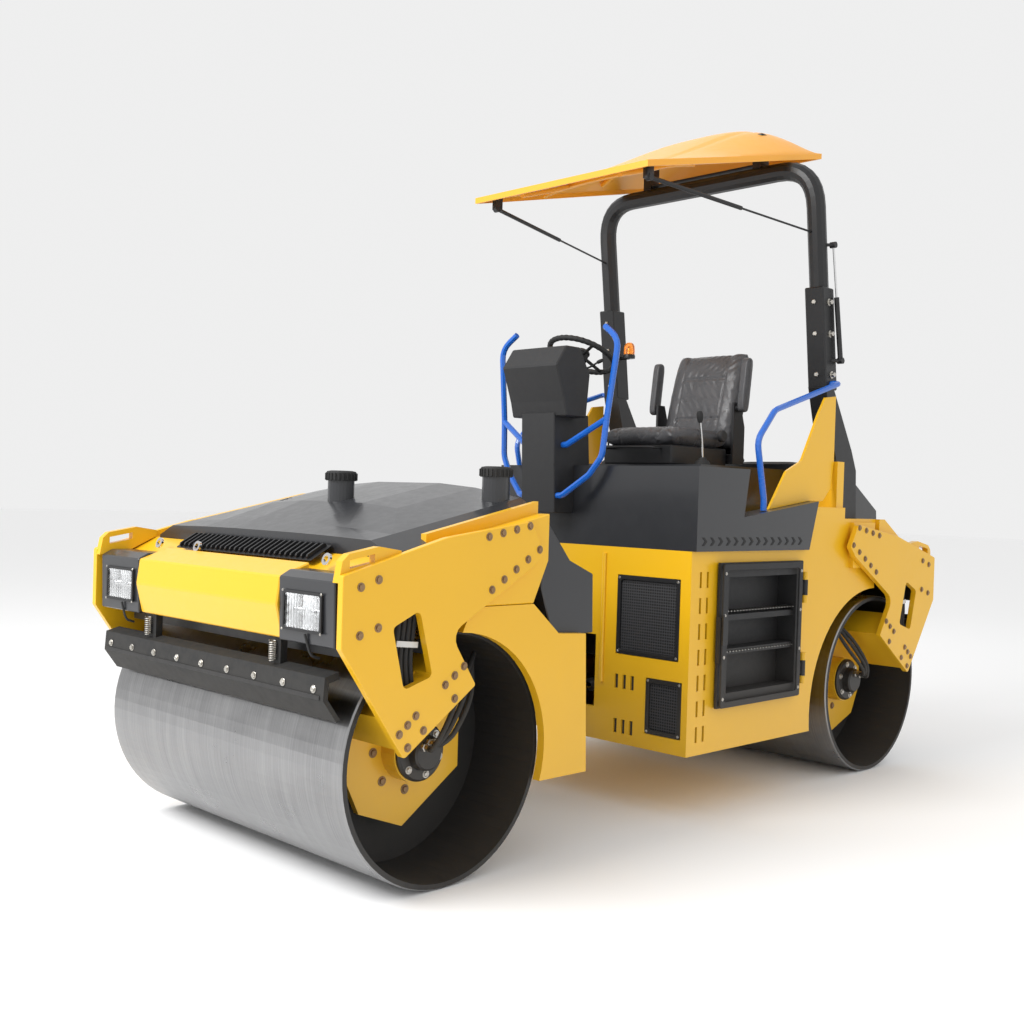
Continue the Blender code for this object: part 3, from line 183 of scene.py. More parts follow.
def smoothLine(points, count=48):
    # a Catmull-Rom curve through the points, carried on straight past both ends
    p = np.asarray(points, float)
    p = np.concatenate([2 * p[:1] - p[1:2], p, 2 * p[-1:] - p[-2:-1]])
    spans = len(p) - 3
    t = np.linspace(0, spans, count)
    k = np.minimum(t.astype(int), spans - 1)
    s = (t - k)[:, None]
    a, b, c, d = p[k], p[k + 1], p[k + 2], p[k + 3]
    return 0.5 * (2 * b + (c - a) * s + (2 * a - 5 * b + 4 * c - d) * s ** 2
                  + (3 * b - a - 3 * c + d) * s ** 3)


def sideRing(centre, radius, angles):
    # points round a centre in the upright plane that runs along the machine
    return np.array(centre) + radius * np.stack([np.cos(angles), 0 * angles, np.sin(angles)], -1)


def addSmooth(piece, levels):
    modifier = piece.modifiers.new("smooth", "SUBSURF")
    modifier.levels = modifier.render_levels = levels


def addPiece(name, parts, material, body, bevel=0.0, levels=0, angle=35):
    # parts as one object at the origin that rides on a body
    points, faces = joinParts(parts)
    mesh = bpy.data.meshes.new(name)
    mesh.from_pydata(points.tolist(), [], faces)
    shape = bmesh.new()
    shape.from_mesh(mesh)
    bmesh.ops.remove_doubles(shape, verts=shape.verts, dist=0.00002)
    bmesh.ops.dissolve_degenerate(shape, edges=shape.edges, dist=0.00001)
    bmesh.ops.recalc_face_normals(shape, faces=shape.faces)
    shape.to_mesh(mesh)
    shape.free()
    piece = bpy.data.objects.new(name, mesh)
    bpy.context.scene.collection.objects.link(piece)
    mesh.materials.append(material)
    mesh.shade_smooth()
    if levels == 0:
        mesh.set_sharp_from_angle(angle=math.radians(angle))
    if bevel:
        modifier = piece.modifiers.new("edge", "BEVEL")
        modifier.width = bevel
        modifier.segments = 2
        modifier.limit_method = "ANGLE"
        modifier.angle_limit = math.radians(40)
        modifier.harden_normals = True
    if levels:
        addSmooth(piece, levels)
    if body:
        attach(piece, body)
    return piece


# node trees

def addNode(tree, kind, **settings):
    item = tree.nodes.new(kind)
    for key, value in settings.items():
        setattr(item, key, value)
    return item


def feed(tree, socket, value):
    # a link when the value is a socket, else a plain number or colour
    if isinstance(value, bpy.types.NodeSocket):
        tree.links.new(value, socket)
    elif value is not None:
        socket.default_value = value


def feedAll(tree, item, values):
    for key, value in values.items():
        feed(tree, item.inputs[key], value)
    return item.outputs


def calc(tree, operation, a, b=None, clamp=False):
    item = addNode(tree, "ShaderNodeMath", operation=operation, use_clamp=clamp)
    feed(tree, item.inputs[0], a)
    feed(tree, item.inputs[1], b)
    return item.outputs[0]


def mixColour(tree, factor, a, b, blend="MIX"):
    item = addNode(tree, "ShaderNodeMix", data_type="RGBA", blend_type=blend)
    feed(tree, item.inputs[0], factor)
    feed(tree, item.inputs[6], a)
    feed(tree, item.inputs[7], b)
    return item.outputs[2]


def span(tree, value, low, high, toLow=0.0, toHigh=1.0):
    item = addNode(tree, "ShaderNodeMapRange")
    for socket, v in zip(item.inputs, (value, low, high, toLow, toHigh)):
        feed(tree, socket, v)
    return item.outputs[0]


def noise(tree, vector, scale, detail=3.0, rough=0.5):
    item = addNode(tree, "ShaderNodeTexNoise")
    return feedAll(tree, item, {"Vector": vector, "Scale": scale, "Detail": detail, "Roughness": rough})["Fac"]


def addGroup(tree, group, place, values):
    # a node group fed with the object's own coordinates and plain values
    return feedAll(tree, addNode(tree, "ShaderNodeGroup", node_tree=group), {"Vector": place, **values})


def newGroup(name, inputs, outputs):
    tree = bpy.data.node_groups.new(name, "ShaderNodeTree")
    for label, kind in inputs:
        tree.interface.new_socket(name=label, in_out="INPUT", socket_type=kind)
    for label, kind in outputs:
        tree.interface.new_socket(name=label, in_out="OUTPUT", socket_type=kind)
    return tree, addNode(tree, "NodeGroupInput").outputs, addNode(tree, "NodeGroupOutput").inputs


colourKind, floatKind, vectorKind = "NodeSocketColor", "NodeSocketFloat", "NodeSocketVector"


def makeSiteWear():
    # colour = base, mottled by slow noise, dusted low down; roughness rises in the dust
    tree, given, out = newGroup("siteWear", [
        ("Vector", vectorKind), ("Base", colourKind), ("Dust", colourKind), ("Dust Top", floatKind),
        ("Dust Amount", floatKind), ("Mottle", floatKind), ("Rough", floatKind),
    ], [("Color", colourKind), ("Roughness", floatKind), ("Height", floatKind)])
    slow = noise(tree, given["Vector"], 1.7, 3.0)
    fine = noise(tree, given["Vector"], 23.0, 5.0, 0.6)
    peel = noise(tree, given["Vector"], 260.0, 1.0)
    shade = calc(tree, "MULTIPLY", calc(tree, "SUBTRACT", slow, 0.5), given["Mottle"])
    gain = calc(tree, "ADD", shade, 1.0)
    tone = addNode(tree, "ShaderNodeHueSaturation")
    feed(tree, tone.inputs["Value"], gain)
    feed(tree, tone.inputs["Color"], given["Base"])
    split = addNode(tree, "ShaderNodeSeparateXYZ")
    feed(tree, split.inputs[0], given["Vector"])
    edge = calc(tree, "ADD", split.outputs[2], calc(tree, "MULTIPLY", calc(tree, "SUBTRACT", fine, 0.5), 0.5))
    low = calc(tree, "SUBTRACT", 1.0, calc(tree, "DIVIDE", edge, given["Dust Top"]), clamp=True)
    film = calc(tree, "MULTIPLY", calc(tree, "MULTIPLY", low, fine), given["Dust Amount"], clamp=True)
    feed(tree, out["Color"], mixColour(tree, film, tone.outputs[0], given["Dust"]))
    smear = calc(tree, "MULTIPLY", calc(tree, "SUBTRACT", fine, 0.5), 0.18)
    feed(tree, out["Roughness"], calc(tree, "ADD", calc(tree, "ADD", given["Rough"], smear),
                                      calc(tree, "MULTIPLY", film, 0.4), clamp=True))
    feed(tree, out["Height"], calc(tree, "ADD", peel, calc(tree, "MULTIPLY", fine, 0.6)))
    return tree


def makeRolledSteel():
    # streaks run round the drum: noise on (cos t, many times y, sin t), blotched by slow noise
    tree, given, out = newGroup("rolledSteel", [
        ("Vector", vectorKind), ("Axle", floatKind), ("Radius", floatKind), ("Half Width", floatKind),
    ], [("Color", colourKind), ("Roughness", floatKind), ("Height", floatKind), ("Painted", floatKind)])
    split = addNode(tree, "ShaderNodeSeparateXYZ")
    feed(tree, split.inputs[0], given["Vector"])
    dx = calc(tree, "SUBTRACT", split.outputs[0], given["Axle"])
    dz = calc(tree, "SUBTRACT", split.outputs[2], given["Radius"])
    reach = calc(tree, "SQRT", calc(tree, "ADD", calc(tree, "MULTIPLY", dx, dx), calc(tree, "MULTIPLY", dz, dz)))

    def wrapped(across, around):
        joined = addNode(tree, "ShaderNodeCombineXYZ")
        feed(tree, joined.inputs[0], calc(tree, "MULTIPLY", dx, around))
        feed(tree, joined.inputs[1], calc(tree, "MULTIPLY", split.outputs[1], across))
        feed(tree, joined.inputs[2], calc(tree, "MULTIPLY", dz, around))
        return joined.outputs[0]

    brushed = noise(tree, wrapped(260.0, 2.5), 1.0, 4.0, 0.6)
    bands = noise(tree, wrapped(16.0, 1.2), 1.0, 3.0)
    blotch = noise(tree, wrapped(3.5, 4.5), 1.0, 5.0, 0.62)
    value = calc(tree, "ADD", calc(tree, "MULTIPLY", brushed, 0.30),
                 calc(tree, "ADD", calc(tree, "MULTIPLY", bands, 0.16), calc(tree, "MULTIPLY", blotch, 0.22)))
    ramp = addNode(tree, "ShaderNodeValToRGB")
    ramp.color_ramp.elements[0].position = 0.15
    ramp.color_ramp.elements[0].color = (0.16, 0.16, 0.165, 1)
    ramp.color_ramp.elements[1].position = 0.60
    ramp.color_ramp.elements[1].color = (0.46, 0.46, 0.46, 1)
    feed(tree, ramp.inputs[0], value)
    feed(tree, out["Color"], ramp.outputs[0])
    feed(tree, out["Roughness"], span(tree, blotch, 0.3, 0.75, 0.24, 0.46))
    feed(tree, out["Height"], calc(tree, "ADD", brushed, calc(tree, "MULTIPLY", bands, 0.5)))
    # mask for the inside of the shell and both ends, which the drum's material colours near-black
    inside = calc(tree, "LESS_THAN", reach, calc(tree, "SUBTRACT", given["Radius"], 0.010))
    beyond = calc(tree, "GREATER_THAN", calc(tree, "ABSOLUTE", split.outputs[1]),
                  calc(tree, "SUBTRACT", given["Half Width"], 0.0005))
    feed(tree, out["Painted"], calc(tree, "MAXIMUM", inside, beyond))
    return tree


def makeGrain():
    # leather grain: cells of a Voronoi net under fine noise
    tree, given, out = newGroup("vinylGrain", [("Vector", vectorKind), ("Cells", floatKind), ("Base", colourKind)],
                                [("Color", colourKind), ("Roughness", floatKind), ("Height", floatKind)])
    cells = addNode(tree, "ShaderNodeTexVoronoi", feature="DISTANCE_TO_EDGE")
    feed(tree, cells.inputs["Vector"], given["Vector"])
    feed(tree, cells.inputs["Scale"], given["Cells"])
    crease = noise(tree, given["Vector"], 14.0, 4.0, 0.65)
    net = span(tree, cells.outputs["Distance"], 0.0, 0.12)
    feed(tree, out["Height"], calc(tree, "ADD", calc(tree, "MULTIPLY", net, 0.35), crease))
    feed(tree, out["Color"], mixColour(tree, calc(tree, "MULTIPLY", crease, 0.35), given["Base"],
                                       (0.16, 0.16, 0.17, 1)))
    feed(tree, out["Roughness"], span(tree, crease, 0.3, 0.7, 0.26, 0.52))
    return tree


siteWear, rolledSteel, vinylGrain = makeSiteWear(), makeRolledSteel(), makeGrain()


def startMaterial(name):
    material = bpy.data.materials.new(name)
    material.use_nodes = True
    tree = material.node_tree
    shader = tree.nodes["Principled BSDF"]
    place = addNode(tree, "ShaderNodeTexCoord").outputs["Object"]
    return material, tree, shader, place


def addBump(tree, shader, height, strength, distance=0.001):
    bump = feedAll(tree, addNode(tree, "ShaderNodeBump"),
                   {"Strength": strength, "Distance": distance, "Height": height})
    feed(tree, shader.inputs["Normal"], bump[0])


def paintMaterial(name, look):
    material, tree, shader, place = startMaterial(name)
    wear = addGroup(tree, siteWear, place, {
        "Base": (*look["colour"], 1), "Dust": (0.36, 0.31, 0.24, 1), "Dust Top": 0.9,
        "Dust Amount": look.get("dustAmount", 0.30), "Mottle": look.get("mottle", 0.18), "Rough": look["rough"]})
    addBump(tree, shader, wear["Height"], look.get("bump", 0.12), 0.0006)
    feedAll(tree, shader, {"Base Color": wear["Color"], "Roughness": wear["Roughness"],
                           "Metallic": look.get("metal", 0.0), "Coat Weight": look.get("coat", 0.0),
                           "Coat Roughness": 0.12})
    return material


def drumMaterial(name, axleX):
    # rolled steel on the shell's outside, near-black inside and on the ends, mottled and dusted low down
    material, tree, shader, place = startMaterial(name)
    steel = addGroup(tree, rolledSteel, place, {
        "Axle": axleX, "Radius": drumRadius, "Half Width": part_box("front_drum")[1].y})
    wear = addGroup(tree, siteWear, place, {
        "Base": (0.012, 0.012, 0.012, 1), "Dust": (0.10, 0.09, 0.08, 1), "Dust Top": 0.7, "Dust Amount": 0.5,
        "Mottle": 0.4, "Rough": 0.55})
    insideOrEnd = steel["Painted"]
    feedAll(tree, shader, {"Base Color": mixColour(tree, insideOrEnd, steel["Color"], wear["Color"]),
                           "Metallic": calc(tree, "SUBTRACT", 1.0, insideOrEnd),
                           "Roughness": span(tree, insideOrEnd, 0.0, 1.0, steel["Roughness"], wear["Roughness"])})
    addBump(tree, shader, steel["Height"], 0.22, 0.0006)
    return material


def vinylMaterial(name, base, cells):
    material, tree, shader, place = startMaterial(name)
    grain = addGroup(tree, vinylGrain, place, {"Cells": cells, "Base": (*base, 1)})
    addBump(tree, shader, grain["Height"], 0.5, 0.003)
    feedAll(tree, shader, {"Base Color": grain["Color"], "Roughness": grain["Roughness"],
                           "Coat Weight": 0.25, "Coat Roughness": 0.22})
    return material


def clearMaterial(name, colour, rough, emit=0.0):
    material, tree, shader, place = startMaterial(name)
    film = calc(tree, "MULTIPLY", noise(tree, place, 40.0), 0.12)
    feedAll(tree, shader, {
        "Transmission Weight": 1.0, "IOR": 1.46, "Emission Color": (*colour, 1), "Emission Strength": emit,
        "Base Color": mixColour(tree, film, (*colour, 1), (0.8, 0.8, 0.78, 1)),
        "Roughness": span(tree, noise(tree, place, 90.0), 0.3, 0.7, rough, rough + 0.08)})
    return material


looks = {
    "yellow": {"colour": (0.80, 0.445, 0.008), "rough": 0.36, "coat": 0.25, "mottle": 0.10, "dustAmount": 0.22},
    "canopyYellow": {"colour": (0.90, 0.40, 0.025), "rough": 0.42, "coat": 0.15, "mottle": 0.10},
    "grey": {"colour": (0.022, 0.023, 0.026), "rough": 0.32, "coat": 0.3, "mottle": 0.25, "dustAmount": 0.25},
    "black": {"colour": (0.010, 0.010, 0.011), "rough": 0.42, "mottle": 0.3, "dustAmount": 0.25},
    "textured": {"colour": (0.016, 0.016, 0.017), "rough": 0.6, "bump": 0.5, "mottle": 0.3},
    "blue": {"colour": (0.008, 0.115, 0.52), "rough": 0.28, "coat": 0.5, "mottle": 0.15, "dustAmount": 0.1},
    "rubber": {"colour": (0.014, 0.014, 0.014), "rough": 0.72, "bump": 0.4, "mottle": 0.3, "dustAmount": 0.35},
    "zinc": {"colour": (0.52, 0.50, 0.46), "rough": 0.34, "metal": 1.0, "mottle": 0.5, "dustAmount": 0.2},
    "chrome": {"colour": (0.66, 0.66, 0.66), "rough": 0.12, "metal": 1.0, "mottle": 0.1, "dustAmount": 0.05},
    "mirror": {"colour": (0.92, 0.92, 0.92), "rough": 0.22, "metal": 1.0, "mottle": 0.05, "dustAmount": 0.0},
    "bronze": {"colour": (0.30, 0.19, 0.10), "rough": 0.45, "metal": 0.7, "mottle": 0.9, "dustAmount": 0.3},
    "label": {"colour": (0.62, 0.62, 0.60), "rough": 0.5, "mottle": 0.15},
}
paints = {key: paintMaterial(key + "Finish", look) for key, look in looks.items()}
frontSteel = drumMaterial("frontDrumSteel", axle)
rearSteel = drumMaterial("rearDrumSteel", -axle)
seatVinyl = vinylMaterial("seatVinyl", (0.030, 0.030, 0.033), 260.0)
lampGlass = clearMaterial("lampGlass", (0.96, 0.97, 0.98), 0.04)
amberGlass = clearMaterial("amberGlass", (0.95, 0.30, 0.02), 0.08, 0.15)

slotPaint = {"frame_yellow": "yellow", "panel_grey": "grey", "black_paint": "black", "black_trim": "rubber",
             "rail_blue": "blue", "seat_vinyl": "textured", "rod_chrome": "chrome"}
slotOf = {s["node"]: s["material_slot"] for s in frame["record"]["subparts"]}
for name, item in nodes.items():
    item.data.materials.clear()
    if name.endswith("_drum"):
        item.data.materials.append(frontSteel if name.startswith("front") else rearSteel)
    elif name == "canopy":
        item.data.materials.append(paints["canopyYellow"])
    elif name in ("console", "step_door_left", "step_door_right"):
        item.data.materials.append(paints["textured"])
    else:
        item.data.materials.append(paints[slotPaint[slotOf[name]]])
print("materials ready:", len(bpy.data.materials))


# stage, lights and camera
stageLook = {"floorSize": 60.0, "floorColour": (0.97, 0.97, 0.97), "world": 0.86, "key": 620.0, "fill": 35.0}


def makeStage(look):
    # a plain pale floor with soft lights round it
    x = np.linspace(-look["floorSize"], look["floorSize"], 3)
    points = np.stack([*np.meshgrid(x, x, indexing="ij"), np.zeros((3, 3))], -1)
    flat, faces = gridPart(points)
    mesh = bpy.data.meshes.new("floor")
    mesh.from_pydata(flat.tolist(), [], faces)
    floor = bpy.data.objects.new("floor", mesh)
    bpy.context.scene.collection.objects.link(floor)
    material = bpy.data.materials.new("paleFloor")
    material.use_nodes = True
    shader = material.node_tree.nodes["Principled BSDF"]
    shader.inputs["Base Color"].default_value = (*look["floorColour"], 1)
    shader.inputs["Roughness"].default_value = 0.8
    mesh.materials.append(material)
    world = bpy.data.worlds.new("studio")
    world.use_nodes = True
    world.node_tree.nodes["Background"].inputs["Color"].default_value = (1, 1, 1, 1)
    world.node_tree.nodes["Background"].inputs["Strength"].default_value = look["world"]
    bpy.context.scene.world = world
    for label, place, size, power in (("key", (7.0, -1.0, 6.5), 4.0, look["key"]),
                                      ("side", (-1.0, 8.0, 4.5), 5.0, look["fill"]),
                                      ("back", (-7.0, -5.0, 6.0), 5.0, look["fill"])):
        data = bpy.data.lights.new(label, "AREA")
        data.size = size
        data.energy = power
        lamp = bpy.data.objects.new(label, data)
        lamp.location = place
        lamp.rotation_euler = (Vector((0, 0, 1.0)) - lamp.location).to_track_quat("-Z", "Y").to_euler()
        bpy.context.scene.collection.objects.link(lamp)


cameraLook = {"place": (4.701, 4.237, 1.508), "yaw": 225.054, "pitch": -0.758, "roll": 1.761, "lens": 42.19}


def makeCamera(look):
    # looks along yaw and pitch, then rolls about its own line of sight
    yaw, pitch, roll = (math.radians(look[k]) for k in ("yaw", "pitch", "roll"))
    ahead = Vector((math.cos(pitch) * math.cos(yaw), math.cos(pitch) * math.sin(yaw), math.sin(pitch)))
    right = Vector((math.sin(yaw), -math.cos(yaw), 0))
    up = right.cross(ahead)
    across = math.cos(roll) * right + math.sin(roll) * up
    above = math.cos(roll) * up - math.sin(roll) * right
    turn = Matrix((across, above, -ahead)).transposed().to_4x4()
    turn.translation = Vector(look["place"])
    camera = bpy.data.objects.new("camera", bpy.data.cameras.new("camera"))
    bpy.context.scene.collection.objects.link(camera)
    camera.data.sensor_width = 36
    camera.data.lens = look["lens"]
    camera.matrix_world = turn
    bpy.context.scene.camera = camera


makeStage(stageLook)
makeCamera(cameraLook)
bpy.context.scene.view_settings.view_transform = "Standard"
print("stage and camera ready")


# bolts
boltLook = {"head": 0.0115, "tall": 0.0085, "washer": 0.0165, "spin": 1.3}


def boltShape(look):
    # a washer disc under a domed hexagon head
    head, tall, washer = look["head"], look["tall"], look["washer"]
    disc = turnPart([(0, 0), (washer, 0), (washer, 0.0018), (washer * 0.94, 0.0026), (0, 0.0026)], (0, 0, 0),
                    sides=16)
    hexagon = turnPart([(0, 0.0024), (head, 0.0024), (head, tall * 0.82), (head * 0.86, tall), (head * 0.62, tall),
                        (head * 0.55, tall * 0.9), (0, tall * 0.9)], (0, 0, 0), sides=6)
    return joinParts([disc, hexagon])


boltPart = boltShape(boltLook)


def boltRow(start, stop, count):
    return np.linspace(np.asarray(start, float), np.asarray(stop, float), count)


def addBolts(name, places, normal, body, scale=1.0, look="zinc"):
    places = np.atleast_2d(np.asarray(places, float))
    part = copyPart(boltPart, places, normal, np.arange(len(places)) * boltLook["spin"], scale)
    return addPiece(name, [part], paints[look], body, angle=25)


yokeBolts = {"rows": [((0.498, 0.676), (0.420, 0.700), 2), ((0.498, 0.507), (0.417, 0.530), 2),
                      ((-0.112, 0.850), (-0.335, 0.892), 4), ((-0.393, 0.798), (-0.135, 0.646), 5),
                      ((0.000, 0.363), (0.092, 0.300), 3), ((0.043, 0.245), (0.043, 0.245), 1),
                      ((0.231, 0.200), (0.307, 0.140), 3), ((0.193, 0.142), (0.266, 0.088), 2)],
             "hubY": 0.605, "hubRing": 0.165, "hubTop": 0.06}
motorLook = {"y": 0.684, "boltY": 0.706, "boltRing": 0.092, "turn": 0.3, "portY": 0.750, "portRing": 0.045,
             "ports": (1.25, 1.75, 2.4), "hose": 0.0105,
             "cover": [(0.0, 0.0), (0.118, 0.0), (0.118, 0.012), (0.108, 0.022), (0.072, 0.024), (0.068, 0.058),
                       (0.060, 0.066), (0.0, 0.068)],
             "fitting": [(0, 0), (0.017, 0), (0.017, 0.014), (0.013, 0.016), (0.013, 0.034), (0, 0.034)]}
ends = [("front", 1, "front_frame"), ("rear", -1, "rear_frame")]
hands = [("left", 1), ("right", -1)]


def makeYokeDetails(look):
    # bolt rows on each yoke plate, the lower bolts of the hub's ring, and a motor
    spots = np.concatenate([boltRow(a, b, n) for a, b, n in look["rows"]])
    for end, facing, body in ends:
        for hand, side in hands:
            places = np.stack([facing * (axle + spots[:, 0]), np.full(len(spots), side * yokeFace),
                               drumRadius + spots[:, 1]], -1)
            addBolts(f"{end}YokeBolts_{hand}", places, (0, side, 0), body, 1.0, "bronze")
            ring = sideRing((facing * axle, side * look["hubY"], drumRadius), look["hubRing"], turnAngles(8))
            low = ring[ring[:, 2] < drumRadius + look["hubTop"]]
            addBolts(f"{end}HubBolts_{hand}", low, (0, side, 0), body, 1.2, "bronze")
            makeMotor(end, facing, body, hand, side, motorLook)


def makeMotor(end, facing, body, hand, side, look):
    # the hydraulic motor's stepped cover with ports, fittings and hoses that climb behind the yoke
    centre = np.array((facing * axle, side * look["y"], drumRadius))
    cover = turnPart(look["cover"], centre, (0, side, 0), 40)
    addPiece(f"{end}Motor_{hand}", [cover], paints["black"], body)
    spots = sideRing((centre[0], side * look["boltY"], centre[2]), look["boltRing"], turnAngles(6) + look["turn"])
    addBolts(f"{end}MotorBolts_{hand}", spots, (0, side, 0), body)
    fittings, hoses = [], []
    for k, angle in enumerate(look["ports"]):
        port = np.array([centre[0] - facing * look["portRing"] * math.cos(angle), side * look["portY"],
                         centre[2] + look["portRing"] * math.sin(angle)])
        fittings.append(turnPart(look["fitting"], port, (0, side, 0), 6))
        route = [port + (0, side * 0.030, 0), port + (0, side * 0.055, 0.004),
                 port + (-facing * 0.05, side * 0.072, 0.05 + 0.02 * k),
                 port + (-facing * 0.16, side * 0.035, 0.17 + 0.03 * k),
                 port + (-facing * (0.22 + 0.03 * k), -side * 0.03, 0.30 + 0.02 * k)]
        hoses.append(tubePart(smoothLine(route, 30), look["hose"], 10, (1, 0.3, 0)))
    addPiece(f"{end}MotorFittings_{hand}", fittings, paints["zinc"], body, angle=25)
    addPiece(f"{end}MotorHoses_{hand}", hoses, paints["rubber"], body)


makeYokeDetails(yokeBolts)
print("yokes and motors detailed")


def shellPart(top, bottom):
    # two grids of the same size joined round their border
    rows, cols = top.shape[:2]
    upper, faces = gridPart(top)
    lower, below = gridPart(bottom)
    n = rows * cols
    faces += [[i + n for i in face[::-1]] for face in below]
    index = np.arange(n).reshape(rows, cols)
    border = np.concatenate([index[0, :-1], index[:-1, -1], index[-1, :0:-1], index[:0:-1, 0]])
    after = np.roll(border, -1)
    faces += np.stack([after, border, border + n, after + n], -1).tolist()
    return np.concatenate([upper, lower]), faces


def framePart(outline, origin, u, v, width, depth):
    # a flat ring: the outline and a copy drawn in by width, pushed out by depth
    outline = np.asarray(outline, float)
    size = np.ptp(outline, axis=0)
    inner = outline * (1 - 2 * width / size)
    u, v = unit(np.asarray(u, float)), unit(np.asarray(v, float))
    out = np.cross(u, v)
    loops = [(outline, 0), (outline, depth), (inner, depth), (inner, 0)]
    grid = np.stack([np.asarray(origin, float) + o[:, :1] * u + o[:, 1:] * v + out * d for o, d in loops])
    return gridPart(grid, closeU=True, closeV=True)


# lamps in their housings
lampLook = {"centre": (0.685, 1.0725), "size": (0.222, 0.128), "face": 0.569, "bulge": 0.004, "ribs": 13}


def makeLamp(end, facing, body, hand, side, look):
    # a dished mirror, a ribbed glass bulging as cos(u) cos(v), a bezel and four screws
    width, height = look["size"]
    centre = np.array([facing * (axle + look["face"]), side * look["centre"][0], look["centre"][1]])
    out = np.array([facing, 0, 0.0])
    u, v = np.meshgrid(np.linspace(-1, 1, 53), np.linspace(-1, 1, 21), indexing="ij")
    ribs = 0.0012 * np.cos(u * np.pi * look["ribs"])
    swell = look["bulge"] * np.cos(u * np.pi / 2) ** 0.5 * np.cos(v * np.pi / 2) ** 0.5
    y = centre[1] + u * width / 2
    z = centre[2] + v * height / 2
    front = np.stack([centre[0] + facing * (swell + ribs), y, z], -1)
    back = np.stack([centre[0] + facing * (swell - 0.003), y, z], -1)
    addPiece(f"{end}LampGlass_{hand}", [shellPart(front, back)], lampGlass, body)
    halves = []
    for half in (-1, 1):
        middle = centre + (0, half * width / 4, 0)
        uu, vv = np.meshgrid(np.linspace(-1, 1, 25), np.linspace(-1, 1, 25), indexing="ij")
        reach = np.clip(uu ** 2 + vv ** 2, 0, 1.6)
        depth = -0.003 - 0.012 * (1 - reach / 1.6)
        facets = 0.0012 * np.cos(uu * 14) * np.cos(vv * 14)
        dish = np.stack([middle[0] + facing * (depth + facets), middle[1] + uu * width / 4,
                         middle[2] + vv * height / 2], -1)
        halves.append(shellPart(dish, dish - out * 0.001))
        halves.append(turnPart([(0.011, 0.0), (0.011, 0.006), (0.007, 0.012), (0.0, 0.013)],
                               middle - out * 0.016, out, 20))
    addPiece(f"{end}LampMirror_{hand}", halves, paints["mirror"], body)
    bezel = framePart(roundedRect(width + 0.018, height + 0.018, 0.012), centre - out * 0.004,
                      (0, facing, 0), (0, 0, 1), 0.011, 0.009)
    addPiece(f"{end}LampBezel_{hand}", [bezel], paints["textured"], body, bevel=0.002)
    corners = centre + np.array([[0, a * (width / 2 + 0.007), b * (height / 2 + 0.006)]
                                 for a in (-1, 1) for b in (-1, 1)])
    addBolts(f"{end}LampScrews_{hand}", corners + out * 0.005, out, body, 0.30)
    cable = smoothLine([centre + (0, 0.02, -0.078), centre + (-facing * 0.004, 0.03, -0.110),
                        centre + (-facing * 0.012, 0.045, -0.150), centre + (-facing * 0.045, 0.05, -0.165)], 24)
    addPiece(f"{end}LampCable_{hand}", [tubePart(cable, 0.005, 8, (0, 1, 0))], paints["rubber"], body)


for end, facing, body in ends:
    for hand, side in hands:
        makeLamp(end, facing, body, hand, side, lampLook)
print("lamps made")


# front grille and hood furniture
grilleLook = {"low": (0.408, 0.742), "high": (0.308, 0.800), "half": 0.50, "fins": 27, "slope": 0.2225}


def makeGrille(look):
    # upright fins on a sloping black plate between the bumper and the hood
    low, high = (np.array([axle + look[k][0], 0, drumRadius + look[k][1]]) for k in ("low", "high"))
    along = high - low
    out = unit(np.cross(along, (0, 1, 0)) * -1)
    out = out if out[2] > 0 else -out
    plate = platePart(roundedRect(2 * look["half"], np.linalg.norm(along), 0.01),
                      (low + high) / 2 - out * 0.004, (0, 1, 0), along, 0.004)
    fins, length = [], np.linalg.norm(along)
    outline = [(0.008, 0), (0.008, 0.010), (0.016, 0.016), (length - 0.016, 0.016), (length - 0.008, 0.010),
               (length - 0.008, 0)]
    for y in np.linspace(-look["half"] + 0.03, look["half"] - 0.03, look["fins"]):
        fins.append(platePart(outline, low + (0, y - 0.005, 0), along, out, 0.010))
    addPiece("frontGrille", [plate] + fins, paints["black"], "front_frame", bevel=0.0015)


def hoodHeight(x):
    # the hood's top at a place along it
    return drumRadius + 0.828 + grilleLook["slope"] * (axle + 0.300 - x)


hoodLook = {"spots": ((0.10, 0.0, 0.135), (0.405, 0.655, 0.100)), "knurls": 24, "knurlRing": 0.068,
            "cap": [(0.0, 0.0), (0.066, 0.0), (0.067, 0.004), (0.067, 0.034), (0.062, 0.041), (0.046, 0.044),
                    (0.044, 0.039), (0.0, 0.039)],
            "ring": [(0.013, 0.0), (0.024, 0.0), (0.024, 0.010), (0.013, 0.010)], "ringAt": (0.415, 0.752),
            "rings": (-0.62, -0.30, 0.62)}


def makeHoodDetails(look):
    # filler caps with knurled rims and silver rings behind the bumper
    caps, n = [], look["knurls"]
    a = turnAngles(n)
    rib = blockPart((-0.003, -0.003, 0.0), (0.003, 0.003, 0.030), 0.001)
    for back, y, top in look["spots"]:
        x = axle - back
        base = (x, y, hoodHeight(x) + top)
        caps.append(turnPart(look["cap"], base, (0, 0, 1), 48))
        spots = np.stack([base[0] + look["knurlRing"] * np.cos(a), base[1] + look["knurlRing"] * np.sin(a),
                          np.full(n, base[2] + 0.003)], -1)
        caps.append(copyPart(rib, spots, (0, 0, 1.0), a))
    addPiece("fillerCaps", caps, paints["rubber"], "front_frame", angle=30)
    rings = [turnPart(look["ring"], (axle + look["ringAt"][0], y, drumRadius + look["ringAt"][1]), (1, 0, 0.35), 28)
             for y in look["rings"]]
    closed = [gridPart(r[0].reshape(28, 4, 3), closeU=True, closeV=True) for r in rings]
    addPiece("tieRings", closed, paints["chrome"], "front_frame")


makeGrille(grilleLook)
makeHoodDetails(hoodLook)


# scrapers
scraperLook = {"reach": 0.76, "bolts": 9, "blade": 0.006}


